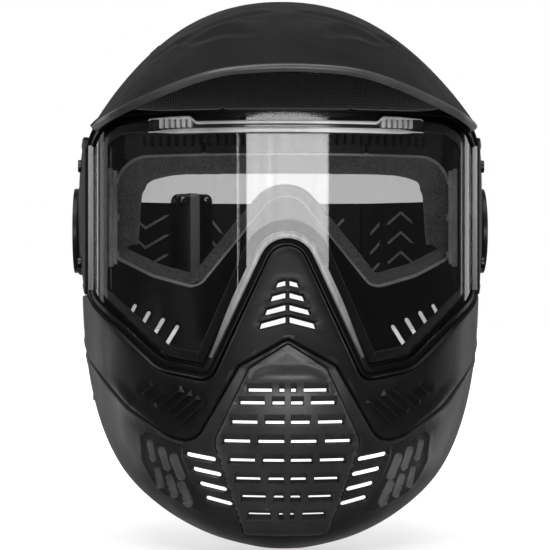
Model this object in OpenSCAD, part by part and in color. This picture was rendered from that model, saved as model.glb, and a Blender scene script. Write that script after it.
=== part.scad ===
/* [Lens] */
// Half width of the lens between its two side edges, seen from the front
lens_half_w = 89.5; // [84:0.5:93]
// Height of the top edge of the lens above the side pivots
lens_top = 50.5; // [46:0.5:56]
// Height of the lowest tip of the lens, beside the nose
lens_bottom = -65; // [-70:0.5:-60]
// Height of the top of the nose arch in the lens
nose_top = -2.5; // [-8:0.5:4]
// Half width of the nose arch at its foot
nose_half_w = 36; // [33:0.5:39]
// Distance of the lens front ahead of the side pivots
lens_front = 127; // [123:0.5:131]
// Thickness of the outer pane
pane_t = 2; // [1.6:0.1:2.4]
// Thickness of the inner thermal pane
inner_pane_t = 1; // [0.8:0.1:1.4]
// Thickness of the foam strip between the two panes
gasket_t = 1.6; // [1:0.1:2]

/* [Goggle frame] */
// Width of the rim round the lens
rim_w = 4.3; // [3.5:0.1:5]
// Width of the rim down the two sides of the lens
rim_side = 2.6; // [2:0.1:3]
// Distance of the eye opening ahead of the side pivots, at the middle
eye_front = 102; // [98:0.5:105]
// Half width of the eye opening
eye_half_w = 80; // [77:0.5:82]
// Height of the top edge of the eye opening
eye_top = 32.5; // [29:0.5:36]
// Wall of the frame at the eye opening
frame_wall = 2.4; // [1.8:0.1:3]
// Number of vent slots in the top wall on each side
comb_count = 9; // [5:1:10]
// Width of one vent slot in the top wall
comb_w = 2.2; // [1.6:0.1:2.6]
// Depth of the foam cushion from the frame back to the face
foam_depth = 14; // [9:0.5:18]
// Thickness of the foam cushion across its ring
foam_t = 9; // [7:0.5:11]

/* [Lower mask] */
// Wall of the face shell and the jaw shell
shell_t = 2.6; // [2:0.1:3.2]
// Half width of the lower mask at the cheeks
jaw_half_w = 97; // [95:0.5:98]
// Depth of the chin below the side pivots
chin_drop = 147; // [143:0.5:152]
// Distance of the mouth ahead of the side pivots
mouth_front = 139; // [136:0.5:143]
// Width of the overlapping flange behind the seam
seam_flange = 7; // [5:0.5:9]
// Width of the nose vent slots
nose_vent_w = 2.3; // [1.6:0.1:2.8]
// Width of the open slots beside the grille
side_slot_w = 2.1; // [1.6:0.1:2.6]
// Height of the open slots in the mouth grille
grille_slot_h = 1.6; // [1.2:0.1:2.2]
// Height of the recess above each row of grille slots
louvre_h = 4.4; // [3:0.1:5]
// Half width of the mouth grille at its widest
grille_half_w = 31.6; // [30:0.1:33]

/* [Visor] */
// Distance of the visor lip ahead of the side pivots
visor_reach = 164; // [156:0.5:170]
// Height of the visor lip at the middle
visor_lip_z = 67.5; // [64:0.5:71]
// Height of the visor crown above the side pivots
crown_z = 109; // [103:0.5:112]
// Wall of the visor
visor_t = 2.8; // [2.2:0.1:3.4]
// Wall of the forehead shell under the visor
brow_t = 2.2; // [1.8:0.1:2.8]

/* [Side pods and pivots] */
// Distance from the middle to the outer face of the side pods
pod_half_w = 100; // [100:0.5:103]
// Wall of the side pods
pod_t = 3; // [2.4:0.1:3.6]
// Diameter of the pivot discs
disc_d = 42; // [36:0.5:46]
// Height of the pivot discs above the pods
disc_h = 2; // [1.4:0.1:2.6]
// Diameter of the pivot pins
pin_d = 6; // [5:0.1:7]
// Radial clearance of the pivot pins in the arms
pin_clear = 0.05; // [0.03:0.01:0.1]

/* [Rear band] */
// Height of the rear band
band_h = 48; // [42:0.5:52]
// Distance of the rear band behind the side pivots
band_back = 104; // [100:0.5:112]
// Wall of the rear band
band_t = 2.4; // [2:0.1:2.8]
// Pitch of the chevron vents up the band
chevron_pitch = 10.6; // [9.5:0.1:12]
// Width of the chevron vents
chevron_w = 2.6; // [2:0.1:3.2]
// Width of the band slider
slider_w = 24; // [20:0.5:28]

/* [Small parts] */
// Diameter of the heads of the shell rivets
rivet_d = 7; // [6:0.1:8]
// Height of the latch bars inside the lens
latch_h = 44; // [38:0.5:48]
// Diameter of the shanks of the screws
screw_d = 3; // [2.5:0.1:3.5]
// Clearance between pieces that are seated on one another
fit = 0.3; // [0.2:0.05:0.4]

/* [Hidden] */
$fn = 40;

// Helpers for outlines in a plane
function unit(v) = v / norm(v);
function turn(v) = [v[1], -v[0]];
function sgn(x) = x < 0 ? -1 : 1;
function power(x, p) = pow(max(x, 0), p);
function mirrored(half) = concat(half, [for (i = [len(half) - 1:-1:0]) if (half[i][0] > 0.001)
    [-half[i][0], half[i][1], half[i][2]]]);

// The arc of a corner [x, z, radius] between two others
function corner_arc(a, b, c, steps) =
    let (p = [a[0], a[1]], q = [b[0], b[1]], s = [c[0], c[1]],
        u = unit(p - q), v = unit(s - q), half = acos(u * v) / 2,
        r = b[2], centre = q + unit(u + v) * r / sin(half),
        from = q + u * r / tan(half) - centre, to = q + v * r / tan(half) - centre,
        start = atan2(from[1], from[0]), raw = atan2(to[1], to[0]) - start,
        sweep = raw > 180 ? raw - 360 : raw < -180 ? raw + 360 : raw)
    [for (k = [0:steps]) centre + r * [cos(start + sweep * k / steps), sin(start + sweep * k / steps)]];

// A closed outline of rounded corners, each side after a corner cut into its own number of steps
function outline(corners, arc_steps, side_steps = []) =
    let (n = len(corners), arcs = [for (i = [0:n - 1])
        corner_arc(corners[(i + n - 1) % n], corners[i], corners[(i + 1) % n], arc_steps)])
    [for (i = [0:n - 1]) each concat(arcs[i], len(side_steps) == 0 || side_steps[i] < 2 ? [] :
        [for (k = [1:side_steps[i] - 1]) let (f = k / side_steps[i])
            arcs[i][arc_steps] * (1 - f) + arcs[(i + 1) % n][0] * f])];

// Outward normals of a closed outline that runs anticlockwise
function normals(path) = let (n = len(path))
    [for (i = [0:n - 1]) unit(turn(path[(i + 1) % n] - path[(i + n - 1) % n]))];
function grown(path, out, by) = [for (i = [0:len(path) - 1]) path[i] + out[i] * by];

// Depth of a rounded plan curve at x, as a share of its full depth
function bow(x, half_w, p) = power(1 - pow(min(1, abs(x) / half_w), p), 1 / p);

// A smooth row between the rows of a table
function between(rows, u) =
    let (last = len(rows) - 1, i = min(floor(u), last - 1), f = u - i,
        a = rows[max(i - 1, 0)], b = rows[i], c = rows[i + 1], d = rows[min(i + 2, last)])
    0.5 * (2 * b + (c - a) * f + (2 * a - 5 * b + 4 * c - d) * f * f
        + (3 * b - a - 3 * c + d) * f * f * f);

// A closed solid through rings of equal length, flat at both ends
module skin(rings) {
    n = len(rings[0]);
    m = len(rings);
    polyhedron(points = [for (ring = rings) each ring],
        faces = concat([[for (k = [n - 1:-1:0]) k]],
            [for (i = [0:m - 2], k = [0:n - 1]) let (l = (k + 1) % n) each
                [[i * n + k, i * n + l, (i + 1) * n + k], [i * n + l, (i + 1) * n + l, (i + 1) * n + k]]],
            [[for (k = [0:n - 1]) (m - 1) * n + k]]),
        convexity = 6);
}

// A closed solid through rings that come back to the first one
module ring_skin(rings) {
    n = len(rings[0]);
    m = len(rings);
    polyhedron(points = [for (ring = rings) each ring],
        faces = [for (i = [0:m - 1], k = [0:n - 1]) let (j = (i + 1) % m, l = (k + 1) % n) each
            [[i * n + k, j * n + k, i * n + l], [i * n + l, j * n + k, j * n + l]]],
        convexity = 6);
}

// A curved sheet of even wall, from a grid of points on its outer face
function grid_normal(g, i, j) = let (m = len(g) - 1, n = len(g[0]) - 1)
    unit(cross(g[min(i + 1, m)][j] - g[max(i - 1, 0)][j], g[i][min(j + 1, n)] - g[i][max(j - 1, 0)]));
module sheet(g, from, to) {
    skin([for (i = [0:len(g) - 1]) concat(
        [for (j = [0:len(g[0]) - 1]) g[i][j] + grid_normal(g, i, j) * from],
        [for (j = [len(g[0]) - 1:-1:0]) g[i][j] + grid_normal(g, i, j) * to])]);
}

// Children drawn in the front view, extruded from y0 back to y1
module along_y(y0, y1) {
    translate([0, y1, 0]) rotate([90, 0, 0]) linear_extrude(y1 - y0) children();
}

// Children drawn in the side view with y to the right, extruded from x0 to x1
module along_x(x0, x1) {
    translate([x0, 0, 0]) rotate([90, 0, 90]) linear_extrude(x1 - x0) children();
}
module rod_x(x0, x1, d, y, z) {
    translate([x0, y, z]) rotate([0, 90, 0]) cylinder(d = d, h = x1 - x0);
}

// A slot between two points of the front view, cut along y
module front_slot(a, b, w, y0, y1) {
    hull() for (p = [a, b])
        translate([p[0], y1, p[1]]) rotate([90, 0, 0]) cylinder(d = w, h = y1 - y0, $fn = 6);
}
// A pocket of the front view, sunk by depth below the lower mask's face
module front_pocket(a, b, w, depth) {
    hull() for (p = [a, b]) translate([p[0], lower_y(p[0], p[1]) + depth, p[1]])
        rotate([90, 0, 0]) cylinder(d = w, h = 20, $fn = 4);
}
module both_sides() {
    children();
    mirror([1, 0, 0]) children();
}
module side(s) {
    if (s < 0) mirror([1, 0, 0]) children();
    else children();
}

// The lens: a plan curve, and a point at [x, z] moved u along the front face and v out of it
lens_w = lens_half_w + 7.5;
lens_c = -20;
lens_n = 2.2;
lens_depth = lens_front + lens_c;
function lens_y(x) = lens_c - lens_depth * bow(x, lens_w, lens_n);
function lens_normal(x) = unit([sgn(x) * pow(abs(x) / lens_w, lens_n - 1) / lens_w,
    -power((lens_c - lens_y(x)) / lens_depth, lens_n - 1) / lens_depth]);
function on_lens(p, out, u, v) = let (n = lens_normal(p[0]))
    [p[0] - u * out[0] * n[1] + v * n[0], lens_y(p[0]) + u * out[0] * n[0] + v * n[1], p[1] + u * out[1]];

// Height where the side pods meet the shells below them
side_z = lens_bottom + 33;

// Outlines of the lens and of the eye opening, as corners [x, z, radius]
lens_corners = mirrored([[0, nose_top + 6, 13], [nose_half_w, lens_bottom, 3],
    [nose_half_w + 20, lens_bottom + 3.5, 14], [lens_half_w, side_z, 12], [lens_half_w, lens_top, 16]]);
eye_corners = mirrored([[0, nose_top + 20, 12], [nose_half_w + 5, eye_top - 63.5, 7],
    [nose_half_w + 24, eye_top - 57, 14], [eye_half_w, eye_top - 45, 8], [eye_half_w - 2, eye_top, 16]]);
arc_steps = 3;
side_steps = [3, 2, 5, 1, 16, 1, 5, 2, 3];
lens_path = outline(lens_corners, arc_steps, side_steps);
lens_out = normals(lens_path);
eye_path = outline(eye_corners, arc_steps, side_steps);
eye_out = normals(eye_path);
eye_w = eye_half_w + 8;
function eye_y(x) = lens_c - (eye_front + lens_c) * bow(x, eye_w, lens_n);

// The lower mask, as rows of height, half width, front, widest point and rear edge
lower_rows = [[8, jaw_half_w, -mouth_front + 9, -16, 22],
    [-30, jaw_half_w, -mouth_front + 4, -16, 20],
    [-60, jaw_half_w - 2, -mouth_front, -18, 12],
    [-85, jaw_half_w - 7, -mouth_front, -24, -2],
    [-105, jaw_half_w - 15, -mouth_front + 4, -34, -18],
    [27 - chin_drop, jaw_half_w - 26, -mouth_front + 11, -46, -36],
    [14 - chin_drop, jaw_half_w - 43, -mouth_front + 22, -60, -56],
    [5 - chin_drop, jaw_half_w - 63, -mouth_front + 35, -76, -74],
    [-chin_drop, 12, -mouth_front + 46, -86, -85]];
lower_steps = 20;
row_steps = 1;
function lower_ring(row, inset, beyond) = let (w = row[1] - inset, f = row[2] + inset, c = row[3],
        r = row[4] + beyond, z = row[0] + inset * 0.6)
    concat([[-w, r, z]], [for (k = [0:lower_steps]) let (t = -90 + 180 * k / lower_steps)
        [w * sin(t), c - (c - f) * cos(t), z]], [[w, r, z]]);
module lower_form(inset, beyond) {
    skin([for (i = [0:row_steps * (len(lower_rows) - 1)])
        lower_ring(between(lower_rows, i / row_steps), inset, beyond)]);
}
module lower_layer(outer, inner) {
    difference() {
        lower_form(outer, 0);
        lower_form(inner, 12);
    }
}

// Outlines of the seam under the cheeks and of the mouth grille
far = 200;
// Span in x that holds one side wall, and reach of a bore through a wall
side_from = 50;
side_to = 120;
bore_reach = 12;
seam_corners = mirrored([[0, -50, 3], [21.5, -62, 3], [38, -98, 9], [52, -97, 9], [72, -82, 20],
    [93, -66, 12], [jaw_half_w + 6, -48, 1], [jaw_half_w + 6, 60, 1]]);
seam_path = outline(seam_corners, 3);
seam_out = normals(seam_path);
grille_corners = mirrored([[18.5, -139.5, 2], [grille_half_w, -98, 3], [grille_half_w, -94, 3],
    [17, -63, 3], [0, -52, 2]]);
grille_path = outline(grille_corners, 2);
grille_out = normals(grille_path);
module area(path, out, by) {
    polygon(grown(path, out, by));
}

module face_shell() {
    first_vent = -26;
    vent_pitch = 5.75;
    color("#17181a") difference() {
        intersection() {
            union() {
                intersection() {
                    lower_layer(0, shell_t);
                    along_y(-far, far) area(seam_path, seam_out, -fit);
                }
                intersection() {
                    lower_layer(shell_t + fit, 2 * shell_t + fit);
                    along_y(-far, far) difference() {
                        area(seam_path, seam_out, seam_flange);
                        area(seam_path, seam_out, -seam_flange);
                    }
                }
                intersection() {
                    lower_layer(0.5, 2 * shell_t + fit);
                    along_y(-far, far) difference() {
                        area(seam_path, seam_out, -fit);
                        area(seam_path, seam_out, -seam_flange);
                    }
                }
            }
            along_y(-far, far) difference() {
                polygon([[-far, -far], [far, -far], [far, side_z], [nose_half_w, side_z],
                    [nose_half_w, nose_top + rim_w], [-nose_half_w, nose_top + rim_w],
                    [-nose_half_w, side_z], [-far, side_z]]);
                area(lens_path, lens_out, rim_w + fit);
                area(grille_path, grille_out, fit);
            }
        }
        for (i = [0:3]) both_sides() front_slot([2.2, first_vent - vent_pitch * i],
            [4.6 + 2.7 * i, first_vent - 1.8 - (vent_pitch + 0.3) * i], nose_vent_w, -far, -100);
        for (i = [0:5]) both_sides() cheek_cut(i);
    }
}

// One of the slanted grooves in the cheek
module cheek_cut(i) {
    x0 = 64.5 - 4.1 * i;
    z0 = -76 - 2.4 * i;
    reach = i < 2 ? 5 : 10;
    front_pocket([x0, z0], [x0 - reach, z0 + reach * 0.72], 1.8, 1.2);
}
// Front of the lower mask at x and z, to place what is cut into it
function lower_y(x, z) = let (rows = lower_rows,
        i = max([for (k = [0:len(rows) - 2]) rows[k][0] >= z ? k : 0]),
        f = (rows[i][0] - z) / (rows[i][0] - rows[i + 1][0]), row = rows[i] * (1 - f) + rows[i + 1] * f)
    row[3] + (row[2] - row[3]) * bow(x, row[1], 2);

module jaw_shell() {
    color("#1d1e20") difference() {
        lower_layer(0, shell_t);
        along_y(-far, far) area(seam_path, seam_out, fit);
        along_y(-far, -40) area(grille_path, grille_out, fit);
        for (i = [0:3]) both_sides() front_slot([grille_half_w + 0.6 - 2.3 * i, -104 - 6.5 * i],
            [43.5 - 3 * i, -102.2 - 6.3 * i], side_slot_w, -far, -60);
        for (i = [0:2], j = [0:1]) both_sides() jaw_window(i, j);
        jaw_rivet_places() {
            rod_x(-10, 10, rivet_d / 2 + 2 * fit, 0, 0);
            rod_x(0, 10, rivet_d + 2 * fit, 0, 0);
        }
    }
}
// One window of the vent field at the side of the jaw
module jaw_window(i, j) {
    x0 = 60 - 5.4 * i - 3.2 * j;
    z0 = -97 - 3 * i - 13 * j;
    front_pocket([x0, z0], [x0 - 2.2, z0 - 7.5], 3.2, 1.5);
}
rivet_h = 1.4;
module jaw_rivet_places() {
    for (s = [-1, 1]) side(s) translate([jaw_half_w - 6.2, -12, -81]) children();
}
module jaw_rivets() {
    color("#2a2b2d") jaw_rivet_places() {
        rod_x(-shell_t - 1, 0.4, rivet_d / 2, 0, 0);
        rotate([0, 90, 0]) cylinder(d1 = rivet_d, d2 = rivet_d - 2, h = rivet_h);
    }
}

module mouth_grille() {
    color("#232427") difference() {
        intersection() {
            lower_layer(0, shell_t);
            along_y(-far, -60) polygon(grille_path);
        }
        for (i = [0:7], inner = [0, 1]) both_sides() grille_slot(i, inner);
    }
}
grille_pitch = 8.75;
// Lowest edge of the slots in row i; the first two rows are close together
function grille_z(i) = i < 1 ? -73.1 : -78.8 - grille_pitch * (i - 1);
// Where the curved ribs and the outer ends of the slots lie in row i
function grille_mid(i) = i < 4 ? 5.4 + 3.2 * i : 15.3 - 2.5 * (i - 3);
function grille_end(i) = i < 4 ? 18 + 3.7 * i : 29.2 - 2.85 * (i - 3);
// One louvred slot: two on each side of the middle rib, tall in front and low behind
module grille_slot(i, inner) {
    rib = 1.5;
    z = grille_z(i);
    from = inner > 0 ? rib : grille_mid(i) + rib;
    to = inner > 0 ? grille_mid(i) - rib : grille_end(i);
    y = lower_y(to, z);
    hull() {
        translate([from, y - 12, z]) cube([to - from, 1, louvre_h + 6]);
        translate([from, y + 1.2, z]) cube([to - from, 12, grille_slot_h]);
    }
}

// Width of the rim beside a point of the lens outline
function rim(p, out) = rim_w - (abs(p[0]) > lens_half_w / 2 ? (rim_w - rim_side) * out[0] * out[0] : 0);
module goggle_frame() {
    comb_pitch = 4.6;
    color("#141516") difference() {
        union() {
            ring_skin([for (i = [0:len(lens_path) - 1])
                let (p = lens_path[i], o = lens_out[i], e = eye_path[i], q = eye_out[i], r = rim(p, o))
                [on_lens(p, o, -1.5, fit), on_lens(p, o, -1.5, 1.6), on_lens(p, o, r / 2, 2.2),
                on_lens(p, o, r, 0.6), on_lens(p, o, r, -4.5), on_lens(p, o, 0.8, -8.6),
                [e[0] + q[0] * frame_wall, eye_y(e[0]), e[1] + q[1] * frame_wall],
                [e[0], eye_y(e[0]), e[1]],
                on_lens(p, o, -2.5, -6.6), on_lens(p, o, -2.5, -pane_t - fit),
                on_lens(p, o, fit, -pane_t - fit), on_lens(p, o, fit, fit)]]);
            for (s = [-1, 1]) side(s) latch_frame() latch_seat();
            for (s = [-1, 1]) side(s) intersection() {
                pod_form(pod_t + fit, pod_t + fit + 2.4);
                along_x(side_from, side_to) polygon(outline([[-64, side_z + 10, 3], [-25, side_z + 10, 6],
                    [-25, lens_top - 14, 6], [-64, lens_top - 14, 3]], 2));
            }
        }
        // Vents at the foot of the frame, then the comb along its top wall
        for (i = [0:3]) both_sides() front_slot([72.3 - 5.7 * i, -42.7 - 4.2 * i],
            [69.1 - 6.6 * i, -36.2 - 3.1 * i], 2.2, -100 - 4 * i, -50);
        for (i = [0:comb_count - 1]) both_sides() translate([20 + comb_pitch * i, 0, 0])
            translate([-comb_w / 2, lens_y(20 + comb_pitch * i) + 4, eye_top + 4.4])
                cube([comb_w, 80, lens_top - eye_top - 13.4]);
        for (s = [-1, 1]) side(s) pod_screw_places() rod_x(-bore_reach, bore_reach, screw_d, 0, 0);
        for (s = [-1, 1]) side(s) latch_frame() latch_room();
    }
}

// A pane with the outline of a path, between two depths behind the lens front
function spans(path, x) = let (zs = [for (i = [0:len(path) - 1])
        let (a = path[i], b = path[(i + 1) % len(path)])
        if ((a[0] - x) * (b[0] - x) <= 0 && abs(a[0] - b[0]) > 0.0001)
            a[1] + (b[1] - a[1]) * (x - a[0]) / (b[0] - a[0])])
    [min(zs), max(zs)];
function slid(u) = [for (i = [0:len(lens_path) - 1]) let (q = on_lens(lens_path[i], lens_out[i], u, 0))
    [q[0], q[2]]];
module pane(path, v0, v1) {
    edge = max([for (p = path) p[0]]) - 0.001;
    half = concat([for (p = path) if (p[0] > 0.001 && p[0] < edge - 0.01 && p[1] < 0) p[0]], [edge]);
    xs = concat([for (i = [len(half) - 1:-1:0]) -half[i]], half);
    skin([for (x = xs) let (z = spans(path, x))
        [on_lens([x, z[0]], [0, 0], 0, v0), on_lens([x, z[1]], [0, 0], 0, v0),
        on_lens([x, z[1]], [0, 0], 0, v1), on_lens([x, z[0]], [0, 0], 0, v1)]]);
}
gasket_in = 3.6;
gasket_w = 4;
gasket_front = -pane_t - fit;
gasket_back = gasket_front - gasket_t;
module lens_outer() {
    color("#c8d0d4", 0.4) pane(lens_path, 0, -pane_t);
}
module lens_gasket() {
    color("#0c0c0c") ring_skin([for (i = [0:len(lens_path) - 1])
        [for (q = [[gasket_w, gasket_front], [0, gasket_front], [0, gasket_back], [gasket_w, gasket_back]])
            on_lens(lens_path[i], lens_out[i], -gasket_in - q[0], q[1])]]);
}
module lens_inner() {
    color("#c8d0d4", 0.4) pane(slid(-gasket_in), gasket_back - fit, gasket_back - fit - inner_pane_t);
}

// The foam cushion that seals the frame on the face
module face_foam() {
    inward = -5.5;
    color("#2c2c2e") ring_skin([for (i = [0:len(eye_path) - 1])
        let (e = eye_path[i], q = eye_out[i], y = eye_y(e[0]) + 2.5 * fit)
        [for (p = [[foam_t + inward - 1.5, 0], [foam_t + inward, 3], [foam_t + inward, foam_depth - 3],
            [foam_t / 2 + inward, foam_depth], [inward + 1, foam_depth - 2], [inward, foam_depth / 2],
            [inward + 2, 0]])
            [e[0] + q[0] * p[0], y + p[1], e[1] + q[1] * p[0]]]]);
}

// The bar across the top of the lens, with a vent pod at each end
bar_half_w = 61;
pod_in = 41;
bar_low = lens_top - 9;
function bar_h(x) = abs(x) > pod_in + 1 ? 7.2 : abs(x) < pod_in - 2 ? 4.8 : 6;
module top_bar() {
    color("#3a3b3d") difference() {
        skin([for (x = [-bar_half_w:bar_half_w / 12:bar_half_w + 0.01]) let (h = bar_h(x), z = bar_low)
            [for (p = [[0, 0], [2.2, 0.3], [3.2, 1.6], [3.2, h - 1.6], [2.2, h - 0.3], [0, h]])
                on_lens([x, z + p[1]], [0, 0], 0, fit + p[0])]]);
        for (s = [-1, 1]) side(s) along_y(-far, -40) translate([pod_in + 3.5, bar_low + 1.6])
            square([13.5, 4.2]);
    }
}
// The ribbed insert of a vent pod
module vent_grid(s) {
    color("#8b8d90") side(s) for (i = [0:4]) let (x = pod_in + 4.4 + 2.35 * i)
        skin([for (dx = [0, 1.1]) [for (p = [[0.4, 1.9], [2.6, 1.9], [2.6, 5.5], [0.4, 5.5]])
            on_lens([x + dx, bar_low + p[1]], [0, 0], 0, fit + p[0])]]);
}
module vent_grid_left() {
    vent_grid(-1);
}
module vent_grid_right() {
    vent_grid(1);
}

// The visor: a lip curve, a rear rim curve and a bulged section between them
lip_half_w = lens_half_w - 1;
lip_back = -80;
rim_half_w = 92;
rim_mid = 10;
rim_front = -45;
rim_turn = 0.745;
rim_back = 25;
rim_p = 0.94;
function soft(u) = (u + sqrt(u * u + 256)) / 2;
lip_p = 2 / 2.3;
lip_fall = 0.4;
lip_flat = 32;
function visor_lip(t) = let (x = lip_half_w * sgn(t) * pow(abs(sin(t)), lip_p))
    [x, lip_back - (visor_reach + lip_back) * power(cos(t), lip_p),
        visor_lip_z + 1 - lip_fall * soft(abs(x) - lip_flat)];
function visor_rim(t) = let (a = rim_turn * t) [rim_half_w * sgn(t) * pow(abs(sin(a)), rim_p),
    rim_front + rim_back * (1 - cos(t)), rim_mid + (crown_z - rim_mid) * pow(cos(a), rim_p)];
visor_bulge = 11;
function visor_point(t, s) = let (a = visor_lip(t), b = visor_rim(t),
        up = [0.7 * sin(t), 0, cos(t)] * visor_bulge * cos(t),
        p = a + (b - a) * 0.3 + up, q = a + (b - a) * 0.72 + up * 0.6)
    a * pow(1 - s, 3) + p * 3 * s * pow(1 - s, 2) + q * 3 * s * s * (1 - s) + b * pow(s, 3);
visor_across = 22;
visor_along = 7;
visor_grid = [for (i = [0:visor_across]) [for (j = [0:visor_along])
    visor_point(-89.5 + 179 * i / visor_across, j / visor_along)]];
module visor() {
    color("#101112") difference() {
        union() {
            sheet(visor_grid, 0, -visor_t);
            difference() {
                visor_screw_places() translate([0, 0, -12]) cylinder(d = 8, h = 11);
                sheet(brow_grid, fit, -30);
            }
        }
        visor_screw_places() {
            cylinder(d = screw_d, h = 40, center = true);
            translate([0, 0, -visor_screw_seat]) cylinder(d = 2 * screw_d + 2 * fit, h = 10);
        }
        along_y(lip_back - 8, -50) polygon([for (i = [0:len(lens_path) - 1])
            lens_path[i] + lens_out[i] * (rim(lens_path[i], lens_out[i]) + fit)]);
    }
}

// The forehead shell under the visor, from the frame up to the visor's rear rim
brow_half_w = 76;
brow_gap = 3.2;
function brow_foot(t) = let (x = brow_half_w * sgn(t) * pow(abs(sin(t)), 0.9))
    [x, lens_y(x) + 3, lens_top + rim_w + brow_gap];
function brow_top(t) = let (r = visor_rim(t), out = [0.8 * sin(t), 0, cos(t)] * (visor_t + brow_gap))
    [r[0] * 0.965, r[1] - 2, r[2]] - out + [0, 0, 4.5 * abs(sin(t))];
function brow_point(t, s) = let (a = brow_foot(t), b = brow_top(t),
        up = [0.7 * sin(t), -0.4, cos(t)] * 10 * cos(t),
        p = a + (b - a) * 0.33 + up, q = a + (b - a) * 0.7 + up * 0.7)
    a * pow(1 - s, 3) + p * 3 * s * pow(1 - s, 2) + q * 3 * s * s * (1 - s) + b * pow(s, 3);
brow_across = 18;
brow_along = 5;
brow_grid = [for (i = [0:brow_across]) [for (j = [0:brow_along])
    brow_point(-80 + 160 * i / brow_across, j / brow_along)]];
module brow_shell() {
    color("#0e0f10") difference() {
        sheet(brow_grid, 0, -brow_t);
        visor_screw_places() cylinder(d = screw_d, h = 40, center = true);
    }
}
// The pad of cloth-covered foam in front of the top of the frame
module brow_pad() {
    half = 56;
    color("#3b3b3d") skin([for (x = [-half:half / 8:half + 0.01])
        let (k = 0.35 + 0.65 * sqrt(1 - pow(abs(x) / (half + 0.5), 4)), c = lens_top + 10.6)
        [for (a = [360:-45:45]) let (q = on_lens([x, 0], [0, 0], 0, 1 + k * 3.4 * sin(a)))
            [q[0], q[1], c + k * 6 * cos(a)]]]);
}
// The pad behind the forehead shell, which rests on the wearer's forehead
module forehead_pad() {
    pad_t = 10;
    pad_grid = [for (i = [5:brow_across - 5]) [for (j = [1:brow_along]) brow_grid[i][j]]];
    color("#333335") sheet(pad_grid, -brow_t - 2 * fit, -brow_t - 2 * fit - pad_t);
}

visor_screw_seat = 1.2;
module visor_screw_places() {
    for (t = [-52, 0, 52]) let (s = 0.9, p = visor_point(t, s),
        across = visor_point(t + 1, s) - visor_point(t - 1, s),
        along = visor_point(t, s + 0.05) - visor_point(t, s - 0.05), n = unit(cross(across, along)))
        translate(p) rotate([0, acos(n[2]), atan2(n[1], n[0])]) children();
}
module visor_screws() {
    color("#3c3d40") visor_screw_places() {
        translate([0, 0, -8.5]) cylinder(d = screw_d, h = 8);
        translate([0, 0, -visor_screw_seat]) cylinder(d = 2 * screw_d, h = rivet_h);
    }
}

// The side pods: domed plates that carry the pivots and cover the ears
pod_r = 136;
pod_plan_r = 204;
pod_mid = 8;
pod_edge = [[-56, side_z + fit, 6], [20, side_z + fit, 14], [32, -4, 14], [24, lens_top - 17, 14],
    [-6, lens_top - 6.5, 14], [-56, lens_top - 6.5, 8]];
module pod_form(outer, inner) {
    difference() {
        pod_solid(outer);
        pod_solid(inner);
    }
}
module pod_solid(inset) {
    r = pod_r - inset;
    intersection() {
        translate([pod_half_w - pod_r, -100, pod_mid]) rotate([-90, 0, 0]) cylinder(r = r, h = 200);
        translate([pod_half_w - pod_plan_r, -4, -100]) cylinder(r = pod_plan_r - inset, h = 200);
    }
}
boss_in = pod_half_w - 8;
pod_screw_seat = 0.8;
function pod_x(y, z) = pod_half_w + min(sqrt(pow(pod_r, 2) - pow(z - pod_mid, 2)) - pod_r,
    sqrt(pow(pod_plan_r, 2) - pow(y + 4, 2)) - pod_plan_r);
module side_pod(s) {
    color("#121314") side(s) difference() {
        union() {
            intersection() {
                pod_form(0, pod_t);
                along_x(side_from, side_to) polygon(outline(pod_edge, 4));
            }
            rod_x(boss_in, pod_half_w, disc_d, 0, 0);
        }
        rod_x(side_from, side_to, pin_d, 0, 0);
        pod_screw_places() {
            rod_x(-bore_reach, bore_reach, screw_d, 0, 0);
            rod_x(-pod_screw_seat, bore_reach, 2 * screw_d + 2 * fit, 0, 0);
        }
    }
}
module side_pod_left() {
    side_pod(-1);
}
module side_pod_right() {
    side_pod(1);
}
module pod_screw_places() {
    for (z = [side_z + 16, lens_top - 20]) translate([pod_x(-36, z), -36, z]) children();
}
module pod_screws() {
    color("#3c3d40") for (s = [-1, 1]) side(s) pod_screw_places() {
        rod_x(-pod_t - 3, 0, screw_d, 0, 0);
        rod_x(-pod_screw_seat, 0.6, 2 * screw_d, 0, 0);
    }
}

module pivot_disc(s) {
    groove = 1.2;
    color("#191a1b") side(s) difference() {
        rod_x(pod_half_w, pod_half_w + disc_h, disc_d, 0, 0);
        translate([pod_half_w + disc_h - groove / 2, 0, 0]) rotate([0, 90, 0]) difference() {
            cylinder(d = disc_d - 8, h = groove);
            cylinder(d = disc_d - 10.4, h = 3 * groove, center = true);
        }
        rod_x(side_from, side_to, pin_d, 0, 0);
    }
}
module pivot_disc_left() {
    pivot_disc(-1);
}
module pivot_disc_right() {
    pivot_disc(1);
}

arm_t = 3;
arm_out = boss_in - fit;
arm_in = arm_out - arm_t;
arm_r = 13;
module pivot_pin(s) {
    color("#8f9296") side(s) {
        rod_x(arm_in - fit, pod_half_w + disc_h, pin_d, 0, 0);
        rod_x(arm_in - fit - 1.5, arm_in - fit, 2 * pin_d, 0, 0);
    }
}
module pivot_pin_left() {
    pivot_pin(-1);
}
module pivot_pin_right() {
    pivot_pin(1);
}

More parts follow.
